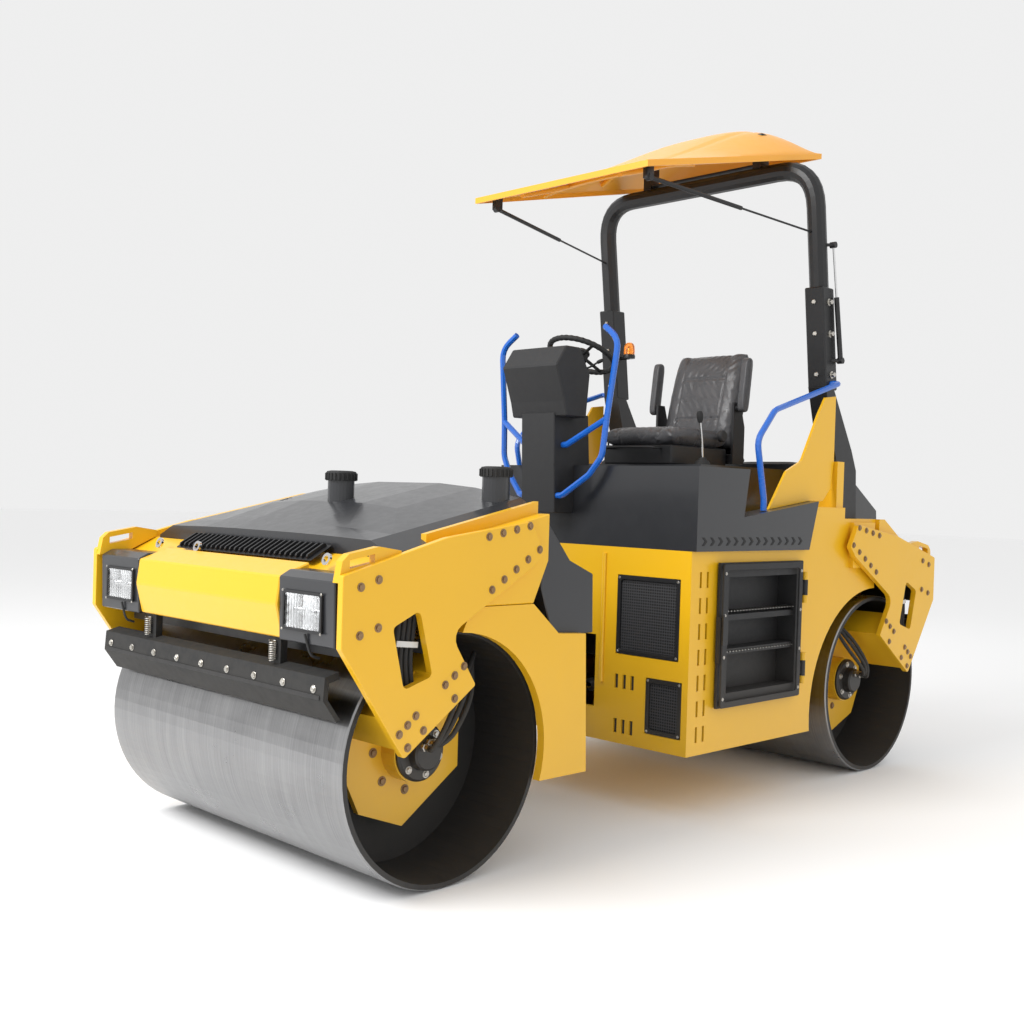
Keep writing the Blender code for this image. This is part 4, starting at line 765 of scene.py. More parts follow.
def makeScraperDetails(end, facing, body, look):
    # a bolt row, a clamping strip and tension springs at both ends
    spots = boltRow((facing * (axle + 0.5645), -look["reach"], drumRadius + 0.305),
                    (facing * (axle + 0.5645), look["reach"], drumRadius + 0.305), look["bolts"])
    addBolts(f"{end}ScraperBolts", spots, (facing, 0, 0.07), body, 0.9)
    strip = [platePart([(-0.80, 0), (0.80, 0), (0.80, 0.016), (-0.80, 0.016)],
                       (facing * (axle + 0.5660), 0, drumRadius + 0.270), (0, facing, 0), (-0.07 * facing, 0, 1),
                       0.004)]
    addPiece(f"{end}ScraperStrip", strip, paints["textured"], body, bevel=0.001)
    springs = []
    for y in (-0.47, 0.47):
        turns = np.linspace(0, 9 * 2 * np.pi, 200)
        coil = np.stack([facing * (axle + 0.545) + 0.013 * np.cos(turns), y + 0.013 * np.sin(turns),
                         drumRadius + 0.372 + 0.075 * turns / turns[-1]], -1)
        springs.append(tubePart(coil, 0.0024, 6, (0.1, 0.2, 1)))
    addPiece(f"{end}ScraperSprings", springs, paints["zinc"], body)


for end, facing, body in ends:
    makeScraperDetails(end, facing, body, scraperLook)


# body front: grilles, slots, bar
bodyLook = {"grilles": ((0.430, 0.815, 0.750, 1.140), (0.625, 0.840, 0.385, 0.655)),
            "slots": (0.440, 0.490, 0.540), "slotRows": (0.580, 0.360), "rows": 7}


def meshMaterial():
    # round holes on a square net: hole where the distance to the cell's centre is small; the holes are coloured
    # near-black as painted shade seen through them
    material, tree, shader, place = startMaterial("wireMesh")
    split = addNode(tree, "ShaderNodeSeparateXYZ")
    feed(tree, split.inputs[0], place)
    parts = []
    for axisIndex in (1, 2):
        cell = calc(tree, "FRACT", calc(tree, "MULTIPLY", split.outputs[axisIndex], 72.0))
        parts.append(calc(tree, "POWER", calc(tree, "SUBTRACT", cell, 0.5), 2.0))
    hole = calc(tree, "LESS_THAN", calc(tree, "ADD", parts[0], parts[1]), 0.115)
    # painted shade: near-black in the holes for the shade behind the mesh
    feed(tree, shader.inputs["Base Color"], mixColour(tree, hole, (0.045, 0.045, 0.048, 1), (0.002, 0.002, 0.002, 1)))
    feed(tree, shader.inputs["Roughness"], span(tree, hole, 0, 1, 0.42, 0.95))
    addBump(tree, shader, calc(tree, "SUBTRACT", 1.0, hole), 0.8, 0.002)
    return material


wireMesh = meshMaterial()


def makeBodyFront(look):
    # each pocket gets a meshed panel in a black frame; each slot gets a thin dark sheet in rubber finish, painted
    # shade for the opening behind it
    face = bodyFront - 0.012
    panels, frames, slotShade = [], [], []
    for side in (1, -1):
        for inner, outer, low, high in look["grilles"]:
            middle = (face + 0.0015, side * (inner + outer) / 2, (low + high) / 2)
            width, height = outer - inner - 0.004, high - low - 0.004
            panels.append(platePart(roundedRect(width, height, 0.012), (middle[0] - 0.001, *middle[1:]),
                                    (0, 1, 0), (0, 0, 1), 0.003))
            frames.append(framePart(roundedRect(width, height, 0.016), middle, (0, 1, 0), (0, 0, 1), 0.020, 0.013))
        for low in look["slotRows"]:
            for y in look["slots"]:
                slotShade.append(blockPart((face + 0.0005, side * y - 0.0105, low + 0.0005),
                                      (face + 0.0020, side * y + 0.0105, low + 0.0695), 0.0005))
        inside = side * (bodySide - 0.012)
        for row in range(look["rows"]):
            low = 0.370 + 0.122 * row
            for x in (bodyFront - 0.075, bodyFront - 0.130):
                near, far = sorted((inside + side * 0.0005, inside + side * 0.0020))
                slotShade.append(blockPart((x - 0.0075, near, low + 0.0005), (x + 0.0075, far, low + 0.0745), 0.0005))
    addPiece("bodyMeshes", panels, wireMesh, "rear_frame")
    addPiece("bodyMeshFrames", frames, paints["black"], "rear_frame", bevel=0.0015)
    # painted shade: dark sheets stand for the shade inside the front and side slots
    addPiece("bodySlots", slotShade, paints["rubber"], "rear_frame")
    spots = []
    for side in (1, -1):
        for inner, outer, low, high in look["grilles"]:
            spots += [(face + 0.0145, side * y, z) for y in (inner + 0.014, outer - 0.014)
                      for z in (low + 0.014, high - 0.014)]
    addBolts("bodyMeshScrews", spots, (1, 0, 0), "rear_frame", 0.42)
    bars = [tubePart([(bodyFront + 0.004, side * 0.345, 0.60), (bodyFront + 0.004, side * 0.345, 1.24)], 0.011, 12,
                     (1, 0, 0)) for side in (-1, 1)]
    addPiece("bodyFrontBars", bars, paints["yellow"], "rear_frame")


makeBodyFront(bodyLook)
print("grilles and slots made")


# deck and doors
deckLook = {"count": 14, "start": 0.110, "step": 0.064, "z": 1.322, "size": 0.040, "mat": (0.150, 0.860), "ribs": 15}
doorLook = {"rungs": (0.36, 0.64), "teeth": 24, "latchIn": 0.024,
            "pull": ((0.012, -0.025), (0.007, -0.015), (0.007, 0.075), (0.012, 0.085))}


def makeDeckDetails(look):
    # dark chevron plates in rubber finish along the deck's edge band, painted shade for the cut chevrons, and ribbed
    # mats
    k = look["size"]
    outline = [(0, 0), (k * 0.45, 0), (k, k * 0.5), (k * 0.45, k), (0, k), (k * 0.55, k * 0.5)]
    chevronShade, mats = [], []
    for side in (1, -1):
        y = side * (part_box("platform")[1].y + 0.0004)
        flat = outline if side > 0 else [(-a, b) for a, b in outline][::-1]
        for i in range(look["count"]):
            spot = (look["start"] - look["step"] * i, y, look["z"] - k / 2)
            chevronShade.append(platePart(flat, spot, (-side, 0, 0), (0, 0, 1), 0.0012))
    # painted shade: dark plates for the shade inside the cut chevrons
    addPiece("deckChevrons", chevronShade, paints["rubber"], "rear_frame")
    for side in (1, -1):
        near, far = sorted((side * look["mat"][0], side * look["mat"][1]))
        mats.append(blockPart((-0.215, near, floorZ + 0.0005), (0.105, far, floorZ + 0.005), 0.02))
        for x in np.linspace(-0.20, 0.09, look["ribs"]):
            mats.append(blockPart((x - 0.005, near + 0.015, floorZ + 0.005),
                                  (x + 0.005, far - 0.015, floorZ + 0.009), 0.004))
    addPiece("floorMats", mats, paints["rubber"], "rear_frame", bevel=0.001)


makeDeckDetails(deckLook)


def makeDoorDetails(hand, side, look):
    # tread strips on the rungs, a bead round the tray, bolts, a latch and its pull
    body = f"step_door_{hand}"
    low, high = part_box(f"step_door_{hand}")
    parts = []
    for share in look["rungs"]:
        z = low.z + (high.z - low.z) * share
        for x in np.linspace(low.x + 0.09, high.x - 0.09, look["teeth"]):
            start = (x - 0.006, 0.895 if side > 0 else -0.845, z + 0.0145)
            parts.append(platePart([(0, 0), (0.012, 0), (0.006, 0.006)], start, (1, 0, 0), (0, 0, 1), 0.05))
    addPiece(f"doorTreads_{hand}", parts, paints["zinc"], body, angle=20)
    outer = high.y if side > 0 else -low.y
    width, height = high.x - low.x, high.z - low.z
    middle = (low.z + high.z) / 2
    ring = framePart(roundedRect(width - 0.085, height - 0.010, 0.014),
                     ((low.x + high.x) / 2 + 0.0375, side * (outer + 0.0003), middle),
                     (-side, 0, 0), (0, 0, 1), 0.030, 0.011)
    addPiece(f"doorBead_{hand}", [ring], paints["textured"], body, bevel=0.004)
    spots = [(x, side * (outer + 0.0112), z) for x in (low.x + 0.095, high.x - 0.020)
             for z in np.linspace(low.z + 0.05, high.z - 0.05, 4)]
    addBolts(f"doorBolts_{hand}", spots, (0, side, 0), body, 0.5)
    x = high.x - look["latchIn"]
    latch = [platePart(roundedRect(0.040, 0.150, 0.010), (x, side * (outer + 0.004), middle + 0.03), (-side, 0, 0),
                       (0, 0, 1), 0.010)]
    pull = smoothLine([(x, side * (outer + out), middle + up) for out, up in look["pull"]], 20)
    latch.append(tubePart(pull, 0.006, 10, (1, 0, 0)))
    addPiece(f"doorLatch_{hand}", latch, paints["black"], body, bevel=0.001)


for hand, side in hands:
    makeDoorDetails(hand, side, doorLook)
print("deck and doors detailed")


# seat
seatLook = {"x": -0.51, "y": 0.18, "width": 0.50, "depth": 0.52, "low": 1.8006, "high": 1.9006,
            "back": 0.585, "thick": 0.11, "lean": 14.0, "armLean": 7}


def padPart(width, depth, height, bolster, dip, rows=45, cols=45, corner=0.35):
    # a rounded slab: top = height/2 (1-|u|^n)(1-|v|^n) + raised side rolls - pressed seams
    u, v = np.meshgrid(np.linspace(-1, 1, rows), np.linspace(-1, 1, cols), indexing="ij")
    edge = np.clip(1 - np.abs(u) ** 7, 0, 1) ** 0.35 * np.clip(1 - np.abs(v) ** 7, 0, 1) ** 0.35
    rolls = bolster * np.exp(-((np.abs(v) - 0.80) / 0.16) ** 2) * edge
    seams = -dip * (np.exp(-((np.abs(v) - 0.60) / 0.022) ** 2) + 0.8 * np.exp(-((np.abs(u) - 0.42) / 0.022) ** 2)
                    * (np.abs(v) < 0.6)) * edge
    square = 1 - corner * 0.12 * (u ** 2 * v ** 2) ** 2
    x, y = u * depth / 2 * square, v * width / 2 * square
    wrinkle = 0.0022 * np.sin(34 * v + 9 * np.sin(4 * u)) * np.sin(11 * u + 3 * v) * edge
    top = np.stack([x, y, (height / 2 - bolster) * edge + rolls + seams + wrinkle], -1)
    bottom = np.stack([x, y, -height / 2 * edge], -1)
    return shellPart(top, bottom)


crinkleLook = {"voxel": 0.006, "pressure": 4.0, "quality": 4, "frames": 20, "steps": 15}


def crinkle(piece, move):
    # pressure blows the cover against its own stretch, held in the first box grown by the allowed move
    remesh = piece.modifiers.new("net", "REMESH")
    remesh.mode = "VOXEL"
    remesh.voxel_size = crinkleLook["voxel"]
    cloth = piece.modifiers.new("cloth", "CLOTH")
    cloth.settings.use_pressure = True
    cloth.settings.uniform_pressure_force = crinkleLook["pressure"]
    cloth.settings.effector_weights.gravity = 0.0
    cloth.settings.quality = crinkleLook["quality"]
    scene = bpy.context.scene
    start = np.array([piece.bound_box[i] for i in range(8)])
    scene.frame_start, scene.frame_end = 1, crinkleLook["frames"]
    cloth.point_cache.frame_start, cloth.point_cache.frame_end = 1, crinkleLook["frames"]
    for step in range(1, crinkleLook["steps"]):
        scene.frame_set(step)
    graph = bpy.context.evaluated_depsgraph_get()
    swollen = bpy.data.meshes.new_from_object(piece.evaluated_get(graph))
    piece.modifiers.clear()
    points = np.empty(len(swollen.vertices) * 3)
    swollen.vertices.foreach_get("co", points)
    points = points.reshape(-1, 3)
    low, high = start.min(0) - move, start.max(0) + move
    points = np.clip(points, low, high)
    swollen.vertices.foreach_set("co", points.ravel())
    material = piece.data.materials[0]
    piece.data = swollen
    swollen.materials.clear()
    swollen.materials.append(material)
    swollen.shade_smooth()
    scene.frame_set(1)


def makeCushion(name, node, part):
    # a blown cover that stands for a seat pad
    piece = addPiece(name, [part], seatVinyl, "rear_frame", angle=80)
    crinkle(piece, 0.004)
    addSmooth(piece, 1)
    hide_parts(node)


def makeSeat(look):
    # the cushion lies flat; the back is the same slab turned to its lean; pads lie along the armrests
    middle = np.array([look["x"], look["y"], (look["low"] + look["high"]) / 2])
    points, faces = padPart(look["width"] - 0.008, look["depth"] - 0.008, look["high"] - look["low"] - 0.008,
                            0.018, 0.010)
    makeCushion("seatCushionCover", "seat_cushion", (points + middle, faces))
    across = np.array([0, 1.0, 0])
    low, high = (np.array(v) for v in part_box("seat_backrest"))
    points, faces = padPart(look["width"] - 0.010, look["back"] - 0.012, look["thick"] - 0.008, 0.020, 0.010)
    taper = 1 - 0.10 * np.clip((points[:, 0] / look["back"] + 0.1), 0, 1) ** 2
    points[:, 1] = points[:, 1] * taper
    lean = math.radians(look["lean"])
    basis = np.array([(-math.sin(lean), 0, math.cos(lean)), across, (math.cos(lean), 0, math.sin(lean))])
    makeCushion("seatBackCover", "seat_backrest", (points @ basis + (low + high) / 2, faces))
    for hand in ("left", "right"):
        node = f"armrest_{hand}"
        low, high = (np.array(v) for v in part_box(node))
        size = high - low
        raised = size[2] > size[0]
        lean = math.radians(look["armLean"])
        points, faces = padPart(size[1] - 0.004, max(size[0], size[2]) - 0.022, 0.062, 0.004, 0.0, 33, 21)
        up = np.array([-math.sin(lean), 0, math.cos(lean)]) if raised else np.array([1.0, 0, 0])
        turned = points @ np.array([up, across, -np.cross(across, up)]) + (low + high) / 2
        piece = addPiece(f"armrestPad_{hand}", [(turned, faces)], seatVinyl, node, levels=1)
        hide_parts(node)


makeSeat(seatLook)
print("seat made")


# canopy
canopyLook = {"front": 0.23, "rear": -1.32, "half": 0.60, "edge": 3.10, "slope": 0.24, "crown": 0.2070,
              "lip": 0.030, "skin": 0.010, "rows": 61, "cols": 49, "inset": (0.997, 0.995, 1.0),
              "beams": (-0.34, 0.34), "bows": (0.30, 0.62)}


def makeCanopy(look):
    # height = edge line + crown sin(pi s^3.4)^0.5 (1 - |v|^3.2), with two long pressed ribs
    s, v = np.meshgrid(np.linspace(0.0, 1.0, look["rows"]), np.linspace(-1, 1, look["cols"]), indexing="ij")
    x = look["front"] - s * (look["front"] - look["rear"])
    line = look["edge"] + look["slope"] * (look["front"] - x) + look["lip"]
    rise = look["crown"] * np.clip(np.sin(np.pi * s ** 3.4), 0, 1) ** 0.5 * (1 - np.abs(v) ** 3.2)
    ribs = -0.010 * np.exp(-((np.abs(v) - 0.52) / 0.035) ** 2) * np.clip(np.sin(np.pi * s), 0, 1) ** 0.4
    top = np.stack([x, v * look["half"], line + rise + ribs - 0.001], -1)
    middle = np.array([(look["front"] + look["rear"]) / 2, 0, 0])
    inset = (top - middle) * np.array(look["inset"]) + middle
    shell = shellPart(inset, inset - np.array([0, 0, look["skin"]]))
    piece = addPiece("canopyShell", [shell], paints["canopyYellow"], "rear_frame", angle=60)
    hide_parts("canopy")
    border = np.concatenate([top[:, 0], top[-1, 1:], top[-2::-1, -1], top[0, -2:0:-1]])
    inward = unit((middle - border) * (1, 1, 0)) * 0.012
    above, below = border + (0, 0, 0.0006), border - (0, 0, look["lip"])
    rim = gridPart(np.stack([above, below, below + inward, above + inward], 1), closeU=True, closeV=True)
    addPiece("canopyRim", [rim], paints["canopyYellow"], "rear_frame")
    beams = []
    for y in look["beams"]:
        column = 24 + int(y / look["half"] * 24)
        route = np.stack([x[4:-4, 0], np.full(look["rows"] - 8, y),
                          (line + rise + ribs)[4:-4, column] - 0.030], -1)
        beams.append(sweepPart(route, roundedRect(0.030, 0.024, 0.006, 3)))
    for share in look["bows"]:
        k = int(share * (look["rows"] - 1))
        route = np.stack([x[k], v[k] * look["half"], (line + rise)[k] - 0.034], -1)[3:-3]
        beams.append(sweepPart(route, roundedRect(0.028, 0.020, 0.005, 3), up=(1, 0, 0.2)))
    addPiece("canopyRibs", beams, paints["canopyYellow"], "rear_frame")


def makeCanopyMounts(look):
    # plates from the stays' ends and from the crossbar up to the canopy's underside
    plates = []
    for hand, side in hands:
        low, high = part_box(f"canopy_stay_{hand}")
        y = side * min(abs(low.y), abs(high.y))
        near, far = sorted((y - side * 0.004, y + side * 0.026))
        under = look["edge"] + look["slope"] * (look["front"] - high.x) + look["lip"] + 0.004
        plates.append(blockPart((high.x - 0.045, near, high.z - 0.028), (high.x + 0.012, far, under), 0.006))
        near, far = sorted((side * 0.36, side * 0.42))
        plates.append(blockPart((-1.070, near, 3.385), (-0.985, far, 3.575), 0.008))
    plates.append(blockPart((-1.062, -0.42, 3.400), (-0.992, 0.42, 3.410), 0.004))
    addPiece("canopyMounts", plates, paints["black"], "rear_frame", bevel=0.002)


makeCanopy(canopyLook)
makeCanopyMounts(canopyLook)
print("canopy made")


# hoop: pins, gas springs, beacon
hoopLook = {"half": 0.74, "foot": -1.185, "base": 2.145, "lean": 7.5, "width": 0.115}
beaconLook = {"z": 2.40, "y": -0.620, "footY": -0.6826,
              "base": [(0, -0.004), (0.036, -0.004), (0.038, 0.010), (0.034, 0.020), (0, 0.020)],
              "core": [(0, 0.020), (0.014, 0.022), (0.014, 0.060), (0.006, 0.070), (0, 0.070)]}


def hoopPoint(z, y):
    # a point on the leaning hoop's centre line at a height
    return np.array([hoopLook["foot"] + 0.005 + (z - hoopLook["base"]) * math.tan(math.radians(hoopLook["lean"])), y, z])


def makeHoopDetails(look):
    # pins through the sleeves and a gas spring at 55 % of the way between two eyes
    pins, cases, springs, rods = [], [], [], []
    for side in (1, -1):
        for rise in (0.08, 0.30, 0.47):
            spot = hoopPoint(look["base"] + rise, side * (look["half"] + look["width"] / 2))
            pins.append(turnPart([(0, 0), (0.020, 0), (0.020, 0.004), (0.013, 0.005), (0.013, 0.020), (0.010, 0.023),
                                  (0, 0.023)], spot, (0, side, 0), 20))
            front = hoopPoint(look["base"] + rise, side * look["half"]) + (look["width"] / 2, 0, 0)
            pins.append(turnPart([(0, -0.004), (0.014, -0.004), (0.014, 0.006), (0.010, 0.009), (0, 0.009)], front,
                                 (1, 0, 0), 6))
        low = hoopPoint(look["base"] + 0.16, side * (look["half"] + 0.084)) + (-0.055, 0, 0)
        high = hoopPoint(look["base"] + 0.78, side * (look["half"] + 0.070)) + (-0.045, 0, 0)
        aim = unit(high - low)
        length = np.linalg.norm(high - low)
        cases.append(tubePart([low, low + aim * length * 0.55], 0.014, 16, (0, 1, 0)))
        rods.append(tubePart([low + aim * length * 0.54, high], 0.006, 12, (0, 1, 0)))
        for end0 in (low, high):
            springs.append(turnPart([(0, -0.016), (0.017, -0.016), (0.017, 0.016), (0, 0.016)], end0, (0, 1, 0), 18))
        springs.append(tubePart([high, hoopPoint(high[2], side * (look["half"] + 0.02))], 0.009, 12, (0, 0, 1)))
        springs.append(tubePart([low, hoopPoint(low[2], side * (look["half"] + 0.04))], 0.010, 12, (0, 0, 1)))
    addPiece("hoopPins", pins, paints["zinc"], "rear_frame")
    addPiece("hoopSpringCases", cases, paints["black"], "rear_frame")
    addPiece("hoopSpringRods", rods, paints["chrome"], "rear_frame")
    addPiece("hoopSpringEyes", springs, paints["black"], "rear_frame")


def makeBeacon(look):
    # an amber dome of ridges on a short bracket from the right-hand sleeve
    base, foot = (hoopPoint(look["z"], y) for y in (look["y"], look["footY"]))
    bracket = [tubePart([foot, base], 0.010, 12), turnPart(look["base"], base, (0, 0, 1), 32)]
    addPiece("beaconBase", bracket, paints["black"], "rear_frame")
    h = np.linspace(0, 1, 29)
    radius = 0.034 * np.clip(1 - h ** 5, 0, 1) ** 0.5 + 0.0009 * np.cos(h * 44) * (h < 0.9)
    dome = turnPart(np.stack([np.maximum(radius, 0.0), 0.020 + 0.078 * h], -1), base, (0, 0, 1), 40)
    addPiece("beaconDome", [dome], amberGlass, "rear_frame")
    core = turnPart(look["core"], base, (0, 0, 1), 20)
    addPiece("beaconLamp", [core], paints["mirror"], "rear_frame")


makeHoopDetails(hoopLook)
makeBeacon(beaconLook)
print("hoop furniture made")


# console, column and wheel
wheelAt = jointAt["steering_wheel_turn"]
wheelAxis = np.array([-math.sin(math.radians(25)), 0, math.cos(math.radians(25))])
consoleLook = {"topDrop": 0.055, "length": 0.26, "width": 0.060, "taper": 0.018, "levers": ((-0.10, 0.11), (0.10, 0.09)),
               "knob": [(0, -0.004), (0.009, 0.0), (0.010, 0.020), (0.008, 0.034), (0, 0.038)]}
wheelLook = {"ring": 0.175, "grip": 0.0145, "ridge": 0.0010, "ridges": 36, "knobTurn": 2.4,
             "cap": [(0, 0.010), (0.040, 0.010), (0.040, 0.018), (0.034, 0.026), (0.010, 0.030), (0, 0.030)],
             "knob": [(0, 0.010), (0.010, 0.012), (0.009, 0.030), (0.018, 0.036), (0.022, 0.048), (0.018, 0.062),
                      (0, 0.067)]}


def makeConsoleDetails(look):
    # a tapering column shroud, a gaiter with cosine folds, and two levers
    across = np.array([0, 1.0, 0])
    top = wheelAt - wheelAxis * look["topDrop"]
    line = np.linspace(0, 1, 12)[:, None]
    route = (1 - line) * (top - wheelAxis * look["length"]) + line * top
    widths = look["width"] - look["taper"] * line[:, 0]
    square = roundedRect(1.0, 1.15, 0.25, 5)
    grid = np.stack([r + square[:, :1] * w * across + square[:, 1:] * w * np.cross(wheelAxis, across)
                     for r, w in zip(route, widths)])
    t = np.linspace(0, 1, 25)
    folds = np.stack([0.048 + 0.006 * np.cos(t * np.pi * 10), -0.33 + 0.09 * t], -1)
    gaiter = turnPart(np.concatenate([[(0, -0.33)], folds, [(0, -0.24)]]), wheelAt, wheelAxis, 28)
    column = [gridPart(capEnds(grid), closeV=True), gaiter]
    addPiece("steeringColumn", column, paints["textured"], "rear_frame")
    levers = []
    for y, reach in look["levers"]:
        start = top - wheelAxis * 0.03
        route = smoothLine([start + (0, 0.3 * y, 0), start + (0, y * 0.9, 0.006),
                            start + (0, y + np.sign(y) * reach * 0.5, 0.028)], 16)
        levers.append(tubePart(route, 0.005, 10, (0, 0, 1)))
        levers.append(turnPart(look["knob"], route[-1], (0, np.sign(y), 0.3), 16))
    addPiece("columnLevers", levers, paints["rubber"], "rear_frame")


makeConsoleDetails(consoleLook)


def makeWheelDetails(look):
    # a grip with finger ridges, a hub cap and a spinner knob; all turn with the wheel
    v = np.array([0, 1.0, 0])
    u = unit(np.cross(v, wheelAxis))
    t, s = turnAngles(180), turnAngles(12)
    ring = wheelAt + look["ring"] * (np.cos(t)[:, None] * u + np.sin(t)[:, None] * v)
    out = unit(ring - wheelAt)
    size = look["grip"] + look["ridge"] * np.cos(t * look["ridges"])
    grid = ring[:, None] + size[:, None, None] * (np.cos(s)[None, :, None] * out[:, None]
                                                  + np.sin(s)[None, :, None] * wheelAxis)
    grip = gridPart(grid, closeU=True, closeV=True)
    addPiece("wheelGrip", [grip], paints["rubber"], "steering_wheel")
    spot = wheelAt + look["ring"] * (math.cos(look["knobTurn"]) * u + math.sin(look["knobTurn"]) * v)
    cap, knob = turnPart(look["cap"], wheelAt, wheelAxis, 32), turnPart(look["knob"], spot, wheelAxis, 28)
    addPiece("wheelKnob", [cap, knob], paints["black"], "steering_wheel")


makeWheelDetails(wheelLook)


# seat suspension, side knobs, drive levers
seatFrameLook = {"middle": (-0.51, 0.18), "size": (0.36, 0.40, 0.09), "bottom": 1.703, "levers": (-0.14, 0.50),
                 "knobs": ((0.436, 1), (-0.076, -1)),
                 "knob": [(0, 0), (0.030, 0), (0.032, 0.004), (0.032, 0.022), (0.027, 0.028), (0, 0.028)],
                 "bar": [(-0.30, 0.02, 1.785), (-0.225, 0.02, 1.782), (-0.205, 0.05, 1.785), (-0.205, 0.31, 1.785),
                         (-0.225, 0.34, 1.782), (-0.30, 0.34, 1.785)],
                 "boot": [(0, 0), (0.042, 0), (0.040, 0.012), (0.030, 0.024), (0.026, 0.020), (0.020, 0.036),
                          (0.012, 0.040), (0, 0.040)],
                 "grip": [(0, -0.004), (0.011, 0), (0.017, 0.022), (0.018, 0.042), (0.013, 0.058), (0, 0.062)]}


def makeSeatFrame(look):
    # bellows with cosine folds under the seat, side knobs, the slide's bar and two drive levers
    middle, size = look["middle"], look["size"]
    outline = roundedRect(1, 1, 0.12, 5)
    rows = []
    for k in np.linspace(0, 1, 31):
        d = 0.006 * np.cos(k * np.pi * 10)
        rows.append(np.stack([middle[0] + outline[:, 0] * (size[0] + 0.006 + 2 * d),
                              middle[1] + outline[:, 1] * (size[1] + 0.006 + 2 * d),
                              np.full(len(outline), look["bottom"] + 0.006 + k * (size[2] - 0.020))], -1))
    bellows = gridPart(np.stack(rows), closeV=True)
    addPiece("seatBellows", [bellows], paints["rubber"], "rear_frame")
    knobs = [turnPart(look["knob"], (-0.66, y, 1.865), (0, side, 0), 24) for y, side in look["knobs"]]
    knobs.append(tubePart(smoothLine(look["bar"], 40), 0.006, 10, (0, 0, 1)))
    addPiece("seatKnobs", knobs, paints["textured"], "rear_frame")
    levers, rods = [], []
    for y in look["levers"]:
        base = np.array([-0.42, y, 1.7005])
        levers.append(turnPart(look["boot"], base, (0, 0, 1), 28))
        route = smoothLine([base + (0, 0, 0.03), base + (0.01, 0, 0.12), base + (0.03, 0, 0.22)], 14)
        rods.append(tubePart(route, 0.006, 10, (0, 1, 0)))
        levers.append(turnPart(look["grip"], route[-1], (0.15, 0, 1), 24))
    addPiece("driveLevers", levers, paints["rubber"], "rear_frame")
    addPiece("driveLeverRods", rods, paints["chrome"], "rear_frame")


makeSeatFrame(seatFrameLook)
print("station furniture made")


# guards, rear hood, aprons, yoke windows
stationLook = {"guardY": 0.8255, "guardBolts": ((-1.10, 1.80), (-1.10, 1.95), (-0.98, 1.62), (-1.08, 1.62)),
               "half": 0.20, "top": 0.470, "louvres": (-1.29, -1.49, 6), "louvreY": (-0.33, 0.33),
               "handle": ((-0.075, 0), (-0.075, 0.030), (0.075, 0.030), (0.075, 0))}
extrasLook = {"apronX": 0.435, "hoses": 4, "route": ((0, 0), (0.010, 0.10), (0.0, 0.20), (-0.01, 0.30)), "slots": 3}


def makeStationBolts(look):
    # bolts on the guards; louvres that swell as sin(pi t) on the rear hood, and its handle
    for hand, side in hands:
        spots = [(x, side * look["guardY"], z) for x, z in look["guardBolts"]]
        addBolts(f"guardBolts_{hand}", spots, (0, side, 0), "rear_frame", 0.8)
    louvres, half = [], look["half"]
    across, t = np.meshgrid(np.linspace(-half, half, 25), np.linspace(0, 1, 9), indexing="ij")
    bulge = 0.010 * np.sin(np.pi * t) ** 0.7 * np.clip(1 - (np.abs(across) / half) ** 6, 0, 1) ** 0.5
    top = deckZ + look["top"]
    for x in np.linspace(*look["louvres"]):
        for y in look["louvreY"]:
            upper = np.stack([x - 0.022 * t, y + across, top + 0.0002 + bulge], -1)
            lower = np.stack([x - 0.022 * t, y + across, top - 0.0010 + 0 * bulge], -1)
            louvres.append(shellPart(upper, lower))
    addPiece("rearHoodLouvres", louvres, paints["grey"], "rear_frame")
    handle = smoothLine([(-1.40, y, top + up) for y, up in look["handle"]], 30)
    addPiece("rearHoodHandle", [tubePart(handle, 0.007, 12, (1, 0, 0))], paints["black"], "rear_frame")


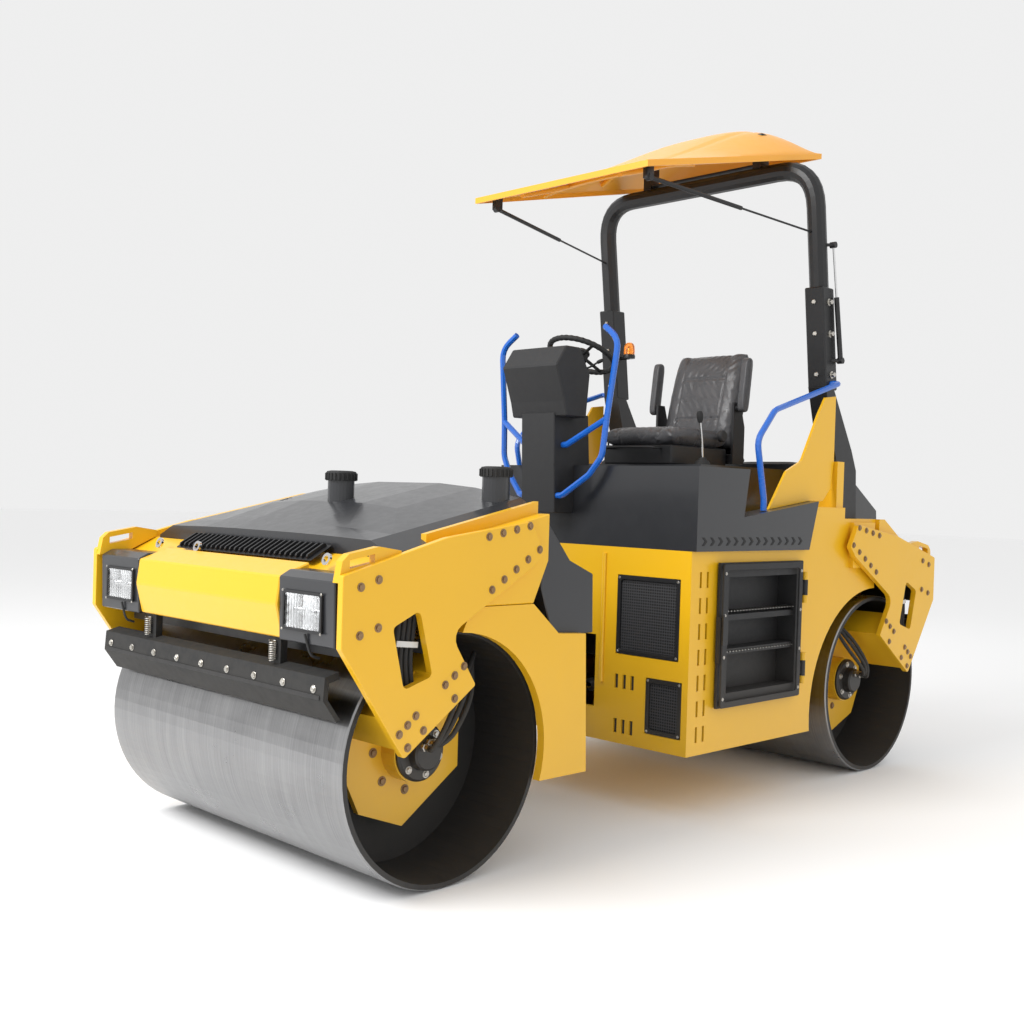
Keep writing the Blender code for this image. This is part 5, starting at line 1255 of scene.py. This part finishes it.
def makeFrontExtras(look):
    # an apron under each bumper, hoses and a blank strap in each yoke window, dark plates as painted shade for slots
    # in the hood
    for end, facing, body in ends:
        x = facing * (axle + look["apronX"])
        near, far = sorted((x, x + facing * 0.004))
        apron = blockPart((near, -0.80, 0.905), (far, 0.80, 0.965), 0.001)
        addPiece(f"{end}Apron", [apron], paints["black"], body)
        for hand, side in hands:
            hoses, y = [], side * (yokeFace - 0.050)
            for k in range(look["hoses"]):
                start = np.array([facing * (axle + 0.215 + 0.024 * k), y, drumRadius + 0.30])
                route = [start + (out * facing, 0, up) for out, up in look["route"]]
                hoses.append(tubePart(smoothLine(route, 24), 0.010, 10, (0, 1, 0)))
            addPiece(f"{end}WindowHoses_{hand}", hoses, paints["rubber"], body)
            t = np.linspace(0, 1, 13)
            route = np.stack([facing * (axle + 0.200 + 0.100 * t), y + side * (0.012 + 0.002 * np.sin(np.pi * t)),
                              drumRadius + 0.452 + 0.010 * t], -1)
            strap = sweepPart(route, roundedRect(0.004, 0.022, 0.001, 2))
            addPiece(f"{end}HoseStrap_{hand}", [strap], paints["label"], body)
    # painted shade: thin dark plates in rubber finish stand for the shade in the hood's slots
    slots = []
    for k in range(look["slots"]):
        x = axle - 0.17 + 0.030 * k
        slots.append(platePart(roundedRect(0.060, 0.012, 0.005), (x, -0.50 + 0.01 * k, hoodHeight(x) + 0.0345),
                               (0.1, 1, 0.17), (1, 0, -grilleLook["slope"]), 0.0015))
    addPiece("hoodSlots", slots, paints["rubber"], "front_frame")


makeFrontExtras(extrasLook)
makeStationBolts(stationLook)


# hoses across the steering joint
hoseLook = {"radius": 0.012, "routes": ((0.12, 0.03, 0.755), (0.17, 0.05, 0.725), (-0.12, -0.03, 0.755),
                                         (-0.17, -0.05, 0.725)),
            "nut": [(0, -0.02), (0.017, -0.02), (0.017, 0.010), (0.0145, 0.014), (0.0145, 0.028), (0, 0.028)]}


def makeJointHoses(look):
    # each hose bows from the housing to a block on the centre link
    block = [blockPart((0.600, -0.068, 0.7695), (0.680, 0.068, 0.800), 0.006)]
    addPiece("hoseBlock", block, paints["black"], "centre_link", bevel=0.002)
    for k, (y, near, z) in enumerate(look["routes"]):
        odd = k % 2
        start = np.array([bodyFront - 0.03, y, z])
        stop = np.array([0.625 + 0.025 * odd, near, 0.815])
        route = smoothLine([start, start + (0.07, 0, 0.0), (0.34, y * 1.25, 0.885 + 0.03 * odd),
                            (0.52, near + y * 0.35, 0.915 + 0.03 * odd), stop + (0, 0, 0.05), stop], 60)
        hose = tubePart(route, look["radius"], 12, (0, 1, 0.1))
        piece = addPiece(f"jointHose_{k}", [hose], paints["rubber"], None)
        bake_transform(piece)
        for label, spot, way, body in (("Rear", start, (1, 0, 0), "rear_frame"),
                                       ("Front", stop, (0, 0, 1), "centre_link")):
            nut = turnPart(look["nut"], spot, way, 6)
            addPiece(f"hoseNut{label}_{k}", [nut], paints["zinc"], body, angle=25)


makeJointHoses(hoseLook)
print("joint hoses made")
